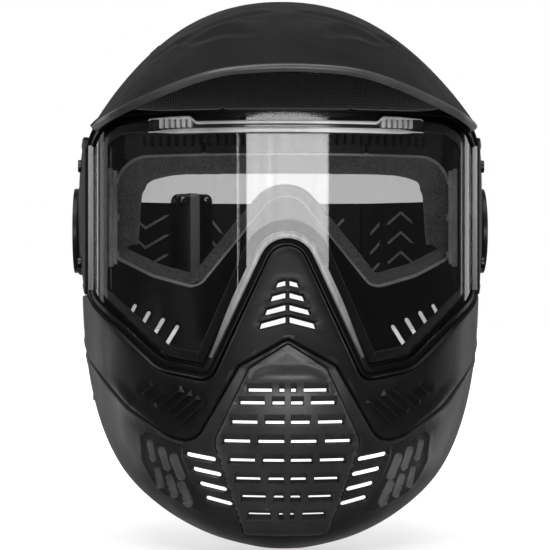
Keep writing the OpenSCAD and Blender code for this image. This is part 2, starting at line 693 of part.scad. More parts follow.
// The rear band: two arms on the pivots and two halves that overlap behind the head
band_w = arm_in - fit;
band_start = 16;
band_y = 46;
band_low = -29;
arm_end = 44;
module rear_arm(s) {
    color("#1a1b1c") side(s) difference() {
        along_x(arm_in, arm_out) union() {
            circle(r = arm_r);
            polygon(outline([[0, -arm_r, 0.1], [arm_end, -arm_r - 4, 6], [arm_end, arm_r, 6],
                [0, arm_r, 0.1]], 4));
        }
        rod_x(side_from, side_to, pin_d + 2 * pin_clear, 0, 0);
        band_rivet_places() rod_x(-bore_reach, bore_reach, screw_d, 0, 0);
    }
}
module rear_arm_left() {
    rear_arm(-1);
}
module rear_arm_right() {
    rear_arm(1);
}
module band_rivet_places() {
    for (z = [-13, 5]) translate([arm_in, arm_end - 7, z]) children();
}
module band_rivets() {
    color("#7d8083") for (s = [-1, 1]) side(s) band_rivet_places() {
        rod_x(-band_t - fit - 0.2, arm_t + 0.2, screw_d, 0, 0);
        rod_x(arm_t, arm_t + 1.2, 2 * screw_d, 0, 0);
        rod_x(-band_t - fit - 1.2, -band_t - fit, 2 * screw_d, 0, 0);
    }
}

// A stretch of the band in plan between two angles, moved out by v and joined to the straight legs
function band_point(t, v) = [(band_w + v) * sin(t), band_y + (band_back - band_y + v) * cos(t)];
function band_line(t0, t1, lap, v) = let (steps = 14) concat(
    t0 > -90 ? [] : [[-band_w - v, band_start]],
    [for (i = [0:steps]) let (t = t0 + (t1 - t0) * i / steps)
        band_point(t, v + (band_t + fit) * max(0, min(1, (lap - t) / 8)))],
    t1 < 90 ? [] : [[band_w + v, band_start]]);
// One half of the band; it steps outward below the angle lap, to pass over the other half
module band_strip(t0, t1, lap) {
    outer = band_line(t0, t1, lap, 0);
    inner = band_line(t0, t1, lap, -band_t);
    translate([0, 0, band_low]) linear_extrude(band_h)
        polygon(concat(outer, [for (i = [len(inner) - 1:-1:0]) inner[i]]));
}
module chevron(x, i) {
    z = band_low + band_h / 2 + 12 - chevron_pitch * i;
    for (k = [-1, 1]) hull() for (p = [[x + 3 * k, z + 3], [x + 17 * k, z - 6]])
        translate([p[0], 0, p[1]]) rotate([-90, 0, 0]) cylinder(d = chevron_w, h = 150, $fn = 4);
}
module rear_band_left() {
    color("#1b1c1e") difference() {
        band_strip(-90, 32, -200);
        for (i = [0:2]) chevron(-48, i);
        for (i = [0:1]) chevron(8, i);
        side(-1) band_rivet_places() rod_x(-bore_reach, bore_reach, screw_d, 0, 0);
    }
}
module rear_band_right() {
    color("#1b1c1e") difference() {
        band_strip(22, 90, 44);
        for (i = [0:3]) chevron(60, i);
        band_rivet_places() rod_x(-bore_reach, bore_reach, screw_d, 0, 0);
    }
}

// The keeper that slides on the band
slider_turn = 22;
// It sits where the band runs at its own angle, on the middle of the band's wall
slider_at = -atan(tan(slider_turn) * band_w / (band_back - band_y));
slider_mid = band_point(slider_at, 0) + [sin(slider_turn), -cos(slider_turn)] * band_t / 2;
module slider_frame() {
    translate(slider_mid) rotate([0, 0, slider_turn]) children();
}
// Room behind the band, which curves away from the straight slider over its travel
slider_in = band_t / 2 + 2.3;
slider_out = band_t / 2 + fit;
slider_wall = 2.4;
module band_slider() {
    color("#0f0f10") slider_frame() difference() {
        translate([-slider_w / 2, -slider_in - slider_wall, band_low - 3])
            cube([slider_w, slider_in + slider_out + 2 * slider_wall, band_h + 6]);
        translate([-slider_w, -slider_in, band_low - 0.5])
            cube([2 * slider_w, slider_in + slider_out, band_h + 1]);
    }
}
module slider_rivets() {
    color("#b9bcc0") slider_frame() for (x = [-6.5, 6.5])
        translate([x, -slider_in - slider_wall, band_low + band_h - 2]) rotate([90, 0, 0])
            cylinder(d = 3.4, h = 1);
}

// The lens latches: a lever on each side, hinged on a base inside the frame
latch_x = lens_half_w - 10.5;
latch_y = lens_y(lens_half_w) + 1.1;
latch_mid = 5;
latch_d = 2.4;
latch_turn = 26;
module latch_frame() {
    translate([latch_x, latch_y, latch_mid - latch_h / 2]) rotate([0, 0, latch_turn]) children();
}
// The room that the frame leaves for a latch, and the seat behind it
seat_x = 2.4 + fit;
module latch_room() {
    inward = 6;
    translate([-inward, -3, -3]) cube([inward + seat_x, 7.4, latch_h + 6]);
}
module latch_seat() {
    translate([seat_x - 0.1, -2.6, -3]) cube([2.1, 5.6, latch_h + 6]);
}
module latch_base(s) {
    color("#2a2b2c") side(s) latch_frame() difference() {
        union() {
            translate([1.5, -2, -1]) cube([0.9, 4.4, latch_h + 2]);
            for (z = [3, latch_h / 2 - 1.5, latch_h - 6]) {
                translate([0, 0, z]) cylinder(d = latch_d + 1.8, h = 3);
                translate([0, -1, z]) cube([2, 2, 3]);
            }
        }
        translate([0, 0, -5]) cylinder(d = latch_d + 2 * pin_clear, h = latch_h + 10);
    }
}
module latch_base_left() {
    latch_base(-1);
}
module latch_base_right() {
    latch_base(1);
}
module lens_latch(s) {
    color("#d0d0cc") side(s) latch_frame() {
        cylinder(d = latch_d, h = latch_h);
        for (z = [7.5, latch_h - 14.5]) translate([-1.1, -4.2, z]) cube([2, 4.2, 7]);
    }
}
module lens_latch_left() {
    lens_latch(-1);
}
module lens_latch_right() {
    lens_latch(1);
}

face_shell();
jaw_shell();
mouth_grille();
goggle_frame();
lens_outer();
lens_gasket();
lens_inner();
face_foam();
top_bar();
vent_grid_left();
vent_grid_right();
brow_shell();
brow_pad();
forehead_pad();
visor();
visor_screws();
side_pod_left();
side_pod_right();
pivot_disc_left();
pivot_disc_right();
pivot_pin_left();
pivot_pin_right();
pod_screws();
jaw_rivets();
latch_base_left();
latch_base_right();
lens_latch_left();
lens_latch_right();
rear_arm_left();
rear_arm_right();
rear_band_left();
rear_band_right();
band_rivets();
band_slider();
slider_rivets();
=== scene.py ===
import math

import bpy
import numpy as np
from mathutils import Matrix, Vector, kdtree
from mathutils.geometry import delaunay_2d_cdt


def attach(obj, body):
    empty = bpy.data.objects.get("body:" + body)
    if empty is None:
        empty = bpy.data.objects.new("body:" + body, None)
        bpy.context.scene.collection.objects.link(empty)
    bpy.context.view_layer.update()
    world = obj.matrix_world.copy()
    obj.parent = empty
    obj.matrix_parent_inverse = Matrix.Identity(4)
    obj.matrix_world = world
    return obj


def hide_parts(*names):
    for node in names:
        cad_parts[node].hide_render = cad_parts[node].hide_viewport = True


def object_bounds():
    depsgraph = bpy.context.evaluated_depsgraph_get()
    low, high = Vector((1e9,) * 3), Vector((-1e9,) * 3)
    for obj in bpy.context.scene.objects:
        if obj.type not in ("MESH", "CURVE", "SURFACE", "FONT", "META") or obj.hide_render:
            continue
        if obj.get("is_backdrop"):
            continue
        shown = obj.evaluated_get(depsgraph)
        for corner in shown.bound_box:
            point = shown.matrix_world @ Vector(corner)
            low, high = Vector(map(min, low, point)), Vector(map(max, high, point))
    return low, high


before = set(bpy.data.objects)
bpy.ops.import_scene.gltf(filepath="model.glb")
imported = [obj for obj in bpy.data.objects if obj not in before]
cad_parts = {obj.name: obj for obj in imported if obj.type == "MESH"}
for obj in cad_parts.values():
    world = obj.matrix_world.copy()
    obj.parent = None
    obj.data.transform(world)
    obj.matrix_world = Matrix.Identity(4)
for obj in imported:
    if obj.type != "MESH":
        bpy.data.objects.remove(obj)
cad_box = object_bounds()

# Shapes are worked out in millimetres, as in the solids, and scaled when a mesh is made
MM = 0.001
FIT = 0.3

# Main sizes, the same as in the solids but for the point of the nose arch
LENS_HALF_W = 89.5
LENS_TOP = 50.5
LENS_BOTTOM = -65.0
NOSE_TOP = -5.0
NOSE_POINT = NOSE_TOP + 18
NOSE_HALF_W = 36.0
LENS_W = LENS_HALF_W + 7.5
LENS_C = -20.0
LENS_N = 2.2
LENS_DEPTH = 107.0
LENS_CORNER_R = 16.0
PANE_T = 2.0
INNER_PANE_T = 1.0
GASKET_T = 1.6
RIM_W = 4.3
RIM_SIDE = 2.6
EYE_FRONT = 102.0
EYE_HALF_W = 80.0
EYE_TOP = 32.5
FRAME_WALL = 2.4
SHELL_T = 2.6
GRILLE_HALF_W = 31.6
SIDE_Z = LENS_BOTTOM + 33
VISOR_T = 2.8
CROWN_Z = 109.0
POD_HALF_W = 100.0
BAND_W = 88.4
BAND_T = 2.4

# How far the lines of the lower mask run past its widest point, and the two sides of the mask
REACH = 60.0
SIDES = ((-1, "left"), (1, "right"))

# Meshes

def make(name, shape, material, slot, body="mask", replaces=(), sharp=38, paint=None):
    """A mesh piece from points in millimetres and faces, smooth but for edges over the sharp angle."""
    points, faces = shape
    mesh = bpy.data.meshes.new(name)
    mesh.from_pydata((np.asarray(points, float) * MM).tolist(), [], [tuple(map(int, face)) for face in faces])
    for each in material if isinstance(material, list) else [material]:
        mesh.materials.append(each)
    if paint is not None:
        mesh.polygons.foreach_set("material_index", np.asarray(paint, np.int32))
    mesh.polygons.foreach_set("use_smooth", np.ones(len(mesh.polygons), bool))
    mesh.set_sharp_from_angle(angle=math.radians(sharp))
    mesh.update()
    piece = bpy.data.objects.new(name, mesh)
    bpy.context.scene.collection.objects.link(piece)
    if replaces:
        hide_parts(*replaces)
    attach(piece, body)
    return piece


def loft(rings, closed=False):
    """A solid through rings of equal length; closed brings the last ring back to the first."""
    rings = np.asarray(rings, float)
    m, n = rings.shape[:2]
    faces = []
    for i in range(m if closed else m - 1):
        j = (i + 1) % m
        for k in range(n):
            after = (k + 1) % n
            faces.append((i * n + k, i * n + after, j * n + after, j * n + k))
    if not closed:
        faces.append(tuple(range(n - 1, -1, -1)))
        faces.append(tuple((m - 1) * n + k for k in range(n)))
    return rings.reshape(-1, 3), faces


def joined(shapes):
    """Several shapes as one."""
    points, faces = [], []
    for p, f in shapes:
        faces += [tuple(k + len(points) for k in face) for face in f]
        points += list(p)
    return points, faces


def around(steps, back=False):
    """The angles of one full turn."""
    angles = np.linspace(0, 2 * math.pi, steps + 1)
    return (angles[::-1] if back else angles)[:-1]


def unit(v):
    v = np.asarray(v, float)
    return v / np.maximum(np.linalg.norm(v, axis=-1, keepdims=True), 1e-12)


def mirrored(half):
    """The corners of one half of a symmetric outline, then those of the other half."""
    half = [tuple(c) for c in half]
    return half + [(-c[0], c[1], c[2]) for c in reversed(half) if c[0] > 0.001]


def corner_arc(before, corner, after, steps):
    """The arc of a corner (x, z, radius) between two others."""
    p, q, s = (np.array(c[:2], float) for c in (before, corner, after))
    u, v = unit(p - q), unit(s - q)
    half = math.acos(max(-1.0, min(1.0, float(u @ v)))) / 2
    r = corner[2]
    centre = q + unit(u + v) * r / math.sin(half)
    first = q + u * r / math.tan(half) - centre
    last = q + v * r / math.tan(half) - centre
    start = math.atan2(first[1], first[0])
    sweep = (math.atan2(last[1], last[0]) - start + math.pi) % (2 * math.pi) - math.pi
    angles = [start + sweep * k / steps for k in range(steps + 1)]
    return [centre + r * np.array([math.cos(a), math.sin(a)]) for a in angles]


def rounded(corners, steps=7):
    """A closed outline with an arc at each corner (x, z, radius)."""
    n = len(corners)
    path = []
    for i in range(n):
        path += corner_arc(corners[i - 1], corners[i], corners[(i + 1) % n], steps)
    return np.array(path)


def outward(path):
    """Outward normals of a closed outline that runs anticlockwise."""
    d = np.roll(path, -1, 0) - np.roll(path, 1, 0)
    return unit(np.stack([d[:, 1], -d[:, 0]], 1))


def grown(path, by):
    return path + outward(path) * by


def capsule(a, b, width, steps=5):
    """The outline of a round-ended slot from a to b."""
    a, b = np.array(a, float), np.array(b, float)
    start = math.atan2(*(b - a)[::-1])
    path = []
    for end, turn in ((b, start - math.pi / 2), (a, start + math.pi / 2)):
        for k in range(steps + 1):
            angle = turn + math.pi * k / steps
            path.append(end + width / 2 * np.array([math.cos(angle), math.sin(angle)]))
    return np.array(path)


def box_line(x0, x1, z0, z1):
    return np.array([(x0, z0), (x1, z0), (x1, z1), (x0, z1)], float)


def circle(y, z, r, steps=48):
    a = around(steps)
    return np.stack([y + r * np.cos(a), z + r * np.sin(a)], 1)


def both_sides(path):
    """An outline and the same outline on the other side of the middle."""
    return [path, (path * [-1, 1])[::-1]]


def resampled(path, step, closed=True):
    """The same line with points no further apart than step; its own points stay."""
    out = []
    n = len(path)
    for i in range(n if closed else n - 1):
        a, b = path[i], path[(i + 1) % n]
        parts = max(1, int(math.ceil(np.linalg.norm(b - a) / step)))
        out += [a + (b - a) * k / parts for k in range(parts)]
    if not closed:
        out.append(path[-1])
    return np.array(out)


def within(loop, x, z):
    """Whether points lie inside a closed outline."""
    x, z = np.asarray(x, float), np.asarray(z, float)
    hit = np.zeros(x.shape, bool)
    for (x0, z0), (x1, z1) in zip(loop, np.roll(loop, -1, 0)):
        crosses = (z0 > z) != (z1 > z)
        if z0 != z1:
            hit ^= crosses & (x < (x1 - x0) * (z - z0) / (z1 - z0) + x0)
    return hit


def clear_of(holes, x, z):
    """Whether points lie outside all the closed outlines."""
    hit = np.ones(np.shape(x), bool)
    for hole in holes:
        hit &= ~within(hole, x, z)
    return hit


def to_lines(u, v, starts, ends):
    """Distance of each point to the nearest of the line pieces."""
    points = np.stack([u, v], 1)
    d = ends - starts
    size = np.maximum((d * d).sum(1), 1e-12)
    best = np.full(len(points), 1e9)
    for at in range(0, len(points), 2000):
        p = points[at:at + 2000, None, :]
        f = np.clip(((p - starts[None]) * d[None]).sum(2) / size, 0, 1)
        best[at:at + 2000] = np.sqrt((((starts[None] + f[..., None] * d[None]) - p) ** 2).sum(2).min(1))
    return best


def to_path(u, v, path, closed=True):
    path = np.asarray(path, float)
    ends = np.roll(path, -1, 0)
    return to_lines(u, v, path, ends) if closed else to_lines(u, v, path[:-1], ends[:-1])


def to_segment(u, v, a, b):
    return to_lines(u, v, np.array([a], float), np.array([b], float))


def columns_at(at, along, table):
    """Each column of a table, read at a distance along it."""
    return [np.interp(at, along, table[:, k]) for k in range(table.shape[1])]


def smooth(f):
    f = np.clip(f, 0, 1)
    return f * f * (3 - 2 * f)


def ridge(distance, at, width):
    """A rounded ridge of height 1 at that distance."""
    return np.exp(-((distance - at) / width) ** 2)


def trough(distance, reach, fade):
    """1 up to the reach, and down to 0 over the fade."""
    return 1 - smooth((distance - reach) / fade)


def apart(points, others, gap):
    """The points that lie further than gap from all the others."""
    tree = kdtree.KDTree(len(others))
    for i, p in enumerate(others):
        tree.insert((p[0], p[1], 0), i)
    tree.balance()
    return np.array([p for p in points if tree.find((p[0], p[1], 0))[2] > gap]).reshape(-1, 2)


def panel(place, lines, inside, step, thick, relief=None, edge_r=0.8, fine=None, flip=False, through=None):
    """A curved sheet with any outline and openings, as a shape and the plane's own coordinates.

    place takes arrays u, v to points. lines are (points, closed) that the mesh has edges along, and
    inside says which triangles stay. The front edge is rounded by edge_r, and relief moves the front.
    through takes the points and gives the way to the back, where that isn't straight in.
    """
    fine = fine or step / 2
    loops = [(resampled(np.asarray(p, float), fine, c), c) for p, c in lines]
    every = np.concatenate([p for p, _ in loops])
    beside = [p + outward(p) * by for p, _ in loops for r in (0.35, 1.0) for by in (r * edge_r, -r * edge_r)]
    lo, hi = every.min(0), every.max(0)
    rows = np.arange(lo[1] + step / 3, hi[1], step * 0.87)
    grid = np.array([(u + (step / 2 if i % 2 else 0), v) for i, v in enumerate(rows)
                     for u in np.arange(lo[0], hi[0], step)])
    both = np.concatenate([every, apart(np.concatenate(beside), every, 0.28 * edge_r)])
    points = np.concatenate([both, apart(grid, both, 0.55 * step)])
    edges = []
    start = 0
    for p, c in loops:
        n = len(p)
        edges += [(start + k, start + (k + 1) % n) for k in range(n if c else n - 1)]
        start += n
    verts, _, tris, *_ = delaunay_2d_cdt([Vector(p) for p in points], edges, [], 0, 1e-5, False)
    flat = np.array([(v.x, v.y) for v in verts])
    tris = np.array(tris)
    mid = flat[tris].mean(1)
    tris = tris[inside(mid[:, 0], mid[:, 1])]
    used, tris = np.unique(tris, return_inverse=True)
    tris = tris.reshape(-1, 3)
    flat = flat[used]
    u, v = flat.T
    pairs = np.concatenate([tris[:, [0, 1]], tris[:, [1, 2]], tris[:, [2, 0]]])
    _, first, total = np.unique(np.sort(pairs, 1), axis=0, return_index=True, return_counts=True)
    rim = pairs[first[total == 1]]
    d = to_lines(u, v, flat[rim[:, 0]], flat[rim[:, 1]])
    base = place(u, v)
    normal = surface_normal(place, u, v, 0.02, 0.02)
    if flip:
        normal = -normal
    drop = edge_r - np.sqrt(np.maximum(0, edge_r ** 2 - (edge_r - np.minimum(d, edge_r)) ** 2))
    height = -drop + (relief(u, v) if relief else 0)
    front = base + normal * height[:, None]
    back = base - normal * thick if through is None else base + through(base, normal) * thick
    n = len(front)
    forward = tris if not flip else tris[:, ::-1]
    turned = rim if not flip else rim[:, ::-1]
    faces = [tuple(t) for t in forward]
    faces += [(t[2] + n, t[1] + n, t[0] + n) for t in forward]
    faces += [(b, a, a + n, b + n) for a, b in turned]
    return (np.concatenate([front, back]), faces), (u, v, tris)


def surface_normal(place, a, b, da=1e-3, db=1e-3):
    return unit(np.cross(place(a + da, b) - place(a - da, b), place(a, b + db) - place(a, b - db)))


# Materials

CLEAR_IOR = 1.5
WEAVE_PITCH = 1.1
MOTTLE = 0.22


def sockets(node, **values):
    for key, value in values.items():
        node.inputs[key.replace("_", " ")].default_value = value


def connect(tree, node, **values):
    for key, value in values.items():
        tree.links.new(value, node.inputs[key.replace("_", " ")])


def added(tree, kind, **values):
    """A new node of a kind, with the values of its inputs."""
    node = tree.nodes.new("ShaderNode" + kind)
    sockets(node, **values)
    return node


def blank(name):
    material = bpy.data.materials.new(name)
    material.use_nodes = True
    tree = material.node_tree
    tree.nodes.clear()
    out = added(tree, "OutputMaterial")
    shader = added(tree, "BsdfPrincipled")
    tree.links.new(shader.outputs[0], out.inputs[0])
    return material, tree, shader


def combined(tree, operation, a, b):
    """Two values joined by an operation of arithmetic."""
    node = added(tree, "Math")
    node.operation = operation
    tree.links.new(a, node.inputs[0])
    tree.links.new(b, node.inputs[1])
    return node.outputs[0]


def own_place(tree):
    """The object's own coordinates, in metres."""
    return added(tree, "TexCoord").outputs["Object"]


def noise(tree, scale, detail=3.0, rough=0.55, stretch=None):
    """Noise in the object's own metres, as a value from 0 to 1."""
    where = own_place(tree)
    if stretch:
        mapping = added(tree, "Mapping", Scale=stretch)
        connect(tree, mapping, Vector=where)
        where = mapping.outputs[0]
    node = added(tree, "TexNoise", Scale=scale, Detail=detail, Roughness=rough)
    connect(tree, node, Vector=where)
    return node.outputs["Fac"]


def ramp(tree, value, low, high, a, b):
    """Goes from a to b as the value goes from low to high."""
    node = added(tree, "MapRange", From_Min=low, From_Max=high, To_Min=a, To_Max=b)
    connect(tree, node, Value=value)
    return node.outputs[0]


def mix_colour(tree, fac, a, b):
    node = added(tree, "Mix")
    node.data_type = "RGBA"
    for socket, value in ((node.inputs[0], fac), (node.inputs[6], a), (node.inputs[7], b)):
        if isinstance(value, bpy.types.NodeSocket):
            tree.links.new(value, socket)
        else:
            socket.default_value = value
    return node.outputs[2]


def blend(tree, share, first, second, out):
    """Two shaders mixed by a share, as the output."""
    mix = added(tree, "MixShader")
    for value, socket in zip((share, first.outputs[0], second.outputs[0]), mix.inputs):
        tree.links.new(value, socket)
    tree.links.new(mix.outputs[0], out.inputs[0])


def bump(tree, height, distance, strength=1.0, normal=None):
    node = added(tree, "Bump", Strength=strength, Distance=distance)
    connect(tree, node, Height=height)
    if normal:
        connect(tree, node, Normal=normal)
    return node.outputs[0]


def neutral(level):
    return (level, level, level, 1.0)


def grey(level):
    """A near neutral colour of that display level, 0 to 255, as the shader takes it."""
    linear = ((level / 255 + 0.055) / 1.055) ** 2.4
    return (linear, linear * 1.005, linear * 1.015, 1.0)


def moulded(name, level, rough, grain=0.35, depth=0.02, worn=0.35, shine=0.5, coat=0.0):
    """Moulded plastic: mottled colour, fine grain, and paler worn edges. Grain and depth are in mm."""
    material, tree, shader = blank(name)
    mottle = ramp(tree, noise(tree, 28, 4), 0.3, 0.7, 0, 1)
    colour = mix_colour(tree, mottle, grey(level * (1 - MOTTLE)), grey(level * (1 + MOTTLE)))
    edge = added(tree, "NewGeometry").outputs["Pointiness"]
    rubbed = combined(tree, "MULTIPLY", ramp(tree, edge, 0.52, 0.62, 0, worn),
                      ramp(tree, noise(tree, 190, 3), 0.35, 0.65, 0.4, 1))
    streaks = noise(tree, 60, 3, 0.6, (1, 1, 0.25))
    connect(tree, shader, Base_Color=mix_colour(tree, rubbed, colour, grey(min(255, level * 2.2 + 20))),
            Roughness=ramp(tree, streaks, 0.3, 0.7, rough - 0.06, rough + 0.08),
            Normal=bump(tree, noise(tree, 1000 / grain, 2), depth * MM))
    sockets(shader, Specular_IOR_Level=shine, Coat_Weight=coat, Coat_Roughness=0.12)
    return material


def metal(name, level, rough):
    material, tree, shader = blank(name)
    fine = noise(tree, 900, 3, 0.6, (1, 1, 6))
    connect(tree, shader, Base_Color=mix_colour(tree, fine, grey(level * 0.8), grey(level * 1.1)),
            Roughness=ramp(tree, fine, 0.3, 0.7, rough - 0.05, rough + 0.1),
            Normal=bump(tree, fine, 0.01 * MM))
    sockets(shader, Metallic=1.0)
    return material


def foam(name, level, cell=0.9):
    """Open-cell foam: small dark pores over a matte face."""
    material, tree, shader = blank(name)
    cells = added(tree, "TexVoronoi", Scale=1000 / cell)
    connect(tree, cells, Vector=own_place(tree))
    pores = ramp(tree, cells.outputs["Distance"], 0.1, 0.6, 0, 1)
    broad = noise(tree, 90, 4)
    base = mix_colour(tree, broad, grey(level * 0.82), grey(level * 1.15))
    rough = bump(tree, broad, 0.3 * MM, 0.6)
    connect(tree, shader, Base_Color=mix_colour(tree, pores, grey(level * 0.55), base),
            Normal=bump(tree, pores, 0.12 * MM, 0.8, rough))
    sockets(shader, Roughness=0.95, Specular_IOR_Level=0.15, Sheen_Weight=0.25, Sheen_Roughness=0.6)
    return material


def woven(name, level):
    """Plain-weave cloth: two crossed sets of threads, raised in turn."""
    material, tree, shader = blank(name)
    threads = []
    for direction in ("X", "Z"):
        wave = added(tree, "TexWave", Scale=310 / WEAVE_PITCH, Distortion=0.6, Detail=1.0, Detail_Scale=2.0)
        wave.bands_direction = direction
        connect(tree, wave, Vector=own_place(tree))
        threads.append(wave.outputs["Fac"])
    weave = combined(tree, "MULTIPLY", *threads)
    fuzz = noise(tree, 700, 4)
    shade = mix_colour(tree, weave, grey(level * 0.6), grey(level * 1.2))
    fuzzy = bump(tree, fuzz, 0.05 * MM, 0.5)
    connect(tree, shader, Normal=bump(tree, weave, 0.25 * MM, 0.9, fuzzy),
            Base_Color=mix_colour(tree, ramp(tree, fuzz, 0.35, 0.7, 0, 0.5), shade, grey(level * 1.5)))
    sockets(shader, Roughness=0.92, Specular_IOR_Level=0.2, Sheen_Weight=0.5, Sheen_Roughness=0.5)
    return material


def clear(name, passed, shine):
    """Clear polycarbonate: it lets part of the light through, and mirrors more towards its edges.

    The share is the same at both faces of a pane, because light runs straight through it here.
    """
    material, tree, shader = blank(name)
    tree.nodes.remove(shader)
    through = added(tree, "BsdfTransparent")
    mirror = added(tree, "BsdfGlossy")
    share = added(tree, "Fresnel")
    inner_face = added(tree, "NewGeometry").outputs["Backfacing"]
    connect(tree, share, IOR=ramp(tree, inner_face, 0, 1, CLEAR_IOR, 1 / CLEAR_IOR))
    smears = noise(tree, 35, 5, 0.6, (9, 9, 0.25))
    connect(tree, through, Color=mix_colour(tree, smears, neutral(passed * 0.97), neutral(passed * 1.02)))
    mottle = ramp(tree, smears, 0.3, 0.7, 0, 1)
    connect(tree, mirror, Color=mix_colour(tree, mottle, neutral(shine * 0.8), neutral(shine)),
            Roughness=ramp(tree, noise(tree, 60, 4), 0.3, 0.8, 0.01, 0.05))
    out = next(n for n in tree.nodes if n.type == "OUTPUT_MATERIAL")
    blend(tree, share.outputs[0], through, mirror, out)
    return material


def painted_reflection_strip(name, top, low, z_top, z_low):
    """A polished strip with a painted reflection, pale at z_top and darkening down to z_low."""
    material, tree, shader = blank(name)
    place = added(tree, "SeparateXYZ")
    connect(tree, place, Vector=own_place(tree))
    down = ramp(tree, place.outputs["Z"], z_low * MM, z_top * MM, 0, 1)
    base = mix_colour(tree, down, grey(low), grey(top))
    streaks = ramp(tree, noise(tree, 90, 4, 0.6, (3, 3, 0.6)), 0.3, 0.7, 0, 0.45)
    connect(tree, shader, Base_Color=mix_colour(tree, streaks, base, grey(low)))
    sockets(shader, Roughness=0.25, Specular_IOR_Level=0.6)
    return material


face_plastic = moulded("face_plastic", 27, 0.4, worn=0.2, shine=0.4)
jaw_plastic = moulded("jaw_plastic", 46, 0.36, worn=0.25, depth=0.012, shine=0.4)
grille_plastic = moulded("grille_plastic", 62, 0.3, worn=0.3, depth=0.01, shine=0.4)
# Painted light: a paler grey on the floors of the jaw's windows, where the slats catch the light
window_painted_light = moulded("window_painted_light", 104, 0.5, worn=0.2, shine=0.3)
frame_plastic = moulded("frame_plastic", 16, 0.36, worn=0.2, depth=0.012, shine=0.3)
# Painted light: a paler grey for the funnel's top wall and the teeth of its comb
funnel_top_painted_light = moulded("funnel_top_painted_light", 84, 0.4, worn=0.2, depth=0.012, shine=0.4)
funnel_plastic = moulded("funnel_plastic", 34, 0.4, worn=0.2, depth=0.012, shine=0.3)
# Painted highlight: a paler bead along the visor's lip
visor_lip_painted_highlight = moulded("visor_lip_painted_highlight", 74, 0.3, worn=0.2, shine=0.6)
visor_plastic = moulded("visor_plastic", 27, 0.5, worn=0.25, grain=0.45, depth=0.03, shine=0.25)
pod_plastic = moulded("pod_plastic", 20, 0.45, worn=0.2, shine=0.22)
disc_plastic = moulded("disc_plastic", 24, 0.35, worn=0.25, shine=0.3)
bar_plastic = moulded("bar_plastic", 44, 0.16, worn=0.3, depth=0.004, shine=0.8, coat=0.6)
# Painted highlight: the vent ribs at the ends of the bar, near white
grid_plastic = moulded("grid_plastic", 228, 0.25, worn=0.2, depth=0.004, shine=0.8)
band_plastic = moulded("band_plastic", 36, 0.5, worn=0.25, shine=0.3)
# Painted highlight: a paler grey on the raised rib of the slider
slider_stripe_painted_highlight = moulded("slider_stripe_painted_highlight", 120, 0.3, worn=0.25, shine=0.6)
slider_plastic = moulded("slider_plastic", 26, 0.3, worn=0.25, shine=0.6)
latch_plastic = moulded("latch_plastic", 244, 0.4, worn=0.1, depth=0.008)
base_plastic = moulded("base_plastic", 244, 0.45)
foam_grey = foam("foam_grey", 165)
gasket_black = foam("gasket_black", 22, 0.6)
# Painted highlight: the lip round the eye opening, near white
eye_lip_painted_highlight = moulded("eye_lip_painted_highlight", 236, 0.22, worn=0.3, depth=0.004, shine=0.9, coat=0.5)
# Painted highlight: the ridges along the bar across the lens, near white
bar_ridge_painted_highlight = moulded("bar_ridge_painted_highlight", 236, 0.2, worn=0.1, depth=0.003, shine=0.8, coat=0.6)
# Painted highlight: pale grey beside the grooves of the band's chevrons
chevron_painted_highlight = moulded("chevron_painted_highlight", 150, 0.3, worn=0.3, depth=0.004, shine=0.7)
pad_weave = woven("pad_weave", 26)
steel = metal("steel", 190, 0.25)
dark_steel = metal("dark_steel", 80, 0.35)
lens_clear = clear("lens_clear", 0.85, 1.0)
# Painted reflections on the polished edge of the lens, pale at the top and darker lower down
nose_edge_painted_reflection = painted_reflection_strip("nose_edge_painted_reflection", 240, 84, -4, -62)
side_edge_painted_reflection = painted_reflection_strip("side_edge_painted_reflection", 205, 120, 38, -30)

# The solids that are shown as they are
for material, nodes in ((disc_plastic, ("pivot_disc_left", "pivot_disc_right")),
                        (steel, ("pivot_pin_left", "pivot_pin_right", "band_rivets")),
                        (dark_steel, ("pod_screws", "visor_screws", "jaw_rivets")),
                        (base_plastic, ("latch_base_left", "latch_base_right")),
                        (latch_plastic, ("lens_latch_left", "lens_latch_right")),
                        (band_plastic, ("rear_arm_left", "rear_arm_right"))):
    for node in nodes:
        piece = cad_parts[node]
        piece.data.materials.clear()
        piece.data.materials.append(material)

# The lens surface


def bow(x, half_w, p):
    """Depth of a rounded plan curve at x, as a share of its full depth."""
    return np.maximum(0, 1 - np.minimum(1, np.abs(x) / half_w) ** p) ** (1 / p)


def lens_y(x):
    return LENS_C - LENS_DEPTH * bow(x, LENS_W, LENS_N)


def on_lens(x, z, v, u=0.0, out=(0.0, 0.0)):
    """A point at x, z of the lens front, moved u along the face towards out and v out of it."""
    x, z = np.broadcast_arrays(np.asarray(x, float), np.asarray(z, float))
    y = lens_y(x)
    nx = np.sign(x) * (np.abs(x) / LENS_W) ** (LENS_N - 1) / LENS_W
    ny = -np.maximum(0, (LENS_C - y) / LENS_DEPTH) ** (LENS_N - 1) / LENS_DEPTH
    size = np.hypot(nx, ny)
    nx, ny = nx / size, ny / size
    return np.stack([x - u * out[0] * ny + v * nx, y + u * out[0] * nx + v * ny, z + u * out[1]], -1)


LENS_CORNERS = mirrored([(0, NOSE_POINT, 13), (NOSE_HALF_W, LENS_BOTTOM, 3),
                         (NOSE_HALF_W + 20, LENS_BOTTOM + 3.5, 14), (LENS_HALF_W, SIDE_Z, 12),
                         (LENS_HALF_W, LENS_TOP, LENS_CORNER_R)])
EYE_CORNERS = mirrored([(0, NOSE_POINT + 8, 12), (NOSE_HALF_W + 4, EYE_TOP - 60, 7),
                        (NOSE_HALF_W + 24, EYE_TOP - 54.5, 14), (EYE_HALF_W, EYE_TOP - 45, 8),
                        (EYE_HALF_W - 2, EYE_TOP, 16)])
EYE_W = EYE_HALF_W + 8
FOAM_SIDE = 68.0
FOAM_TOP = 24.5


def eye_y(x):
    return LENS_C - (EYE_FRONT + LENS_C) * bow(x, EYE_W, LENS_N)


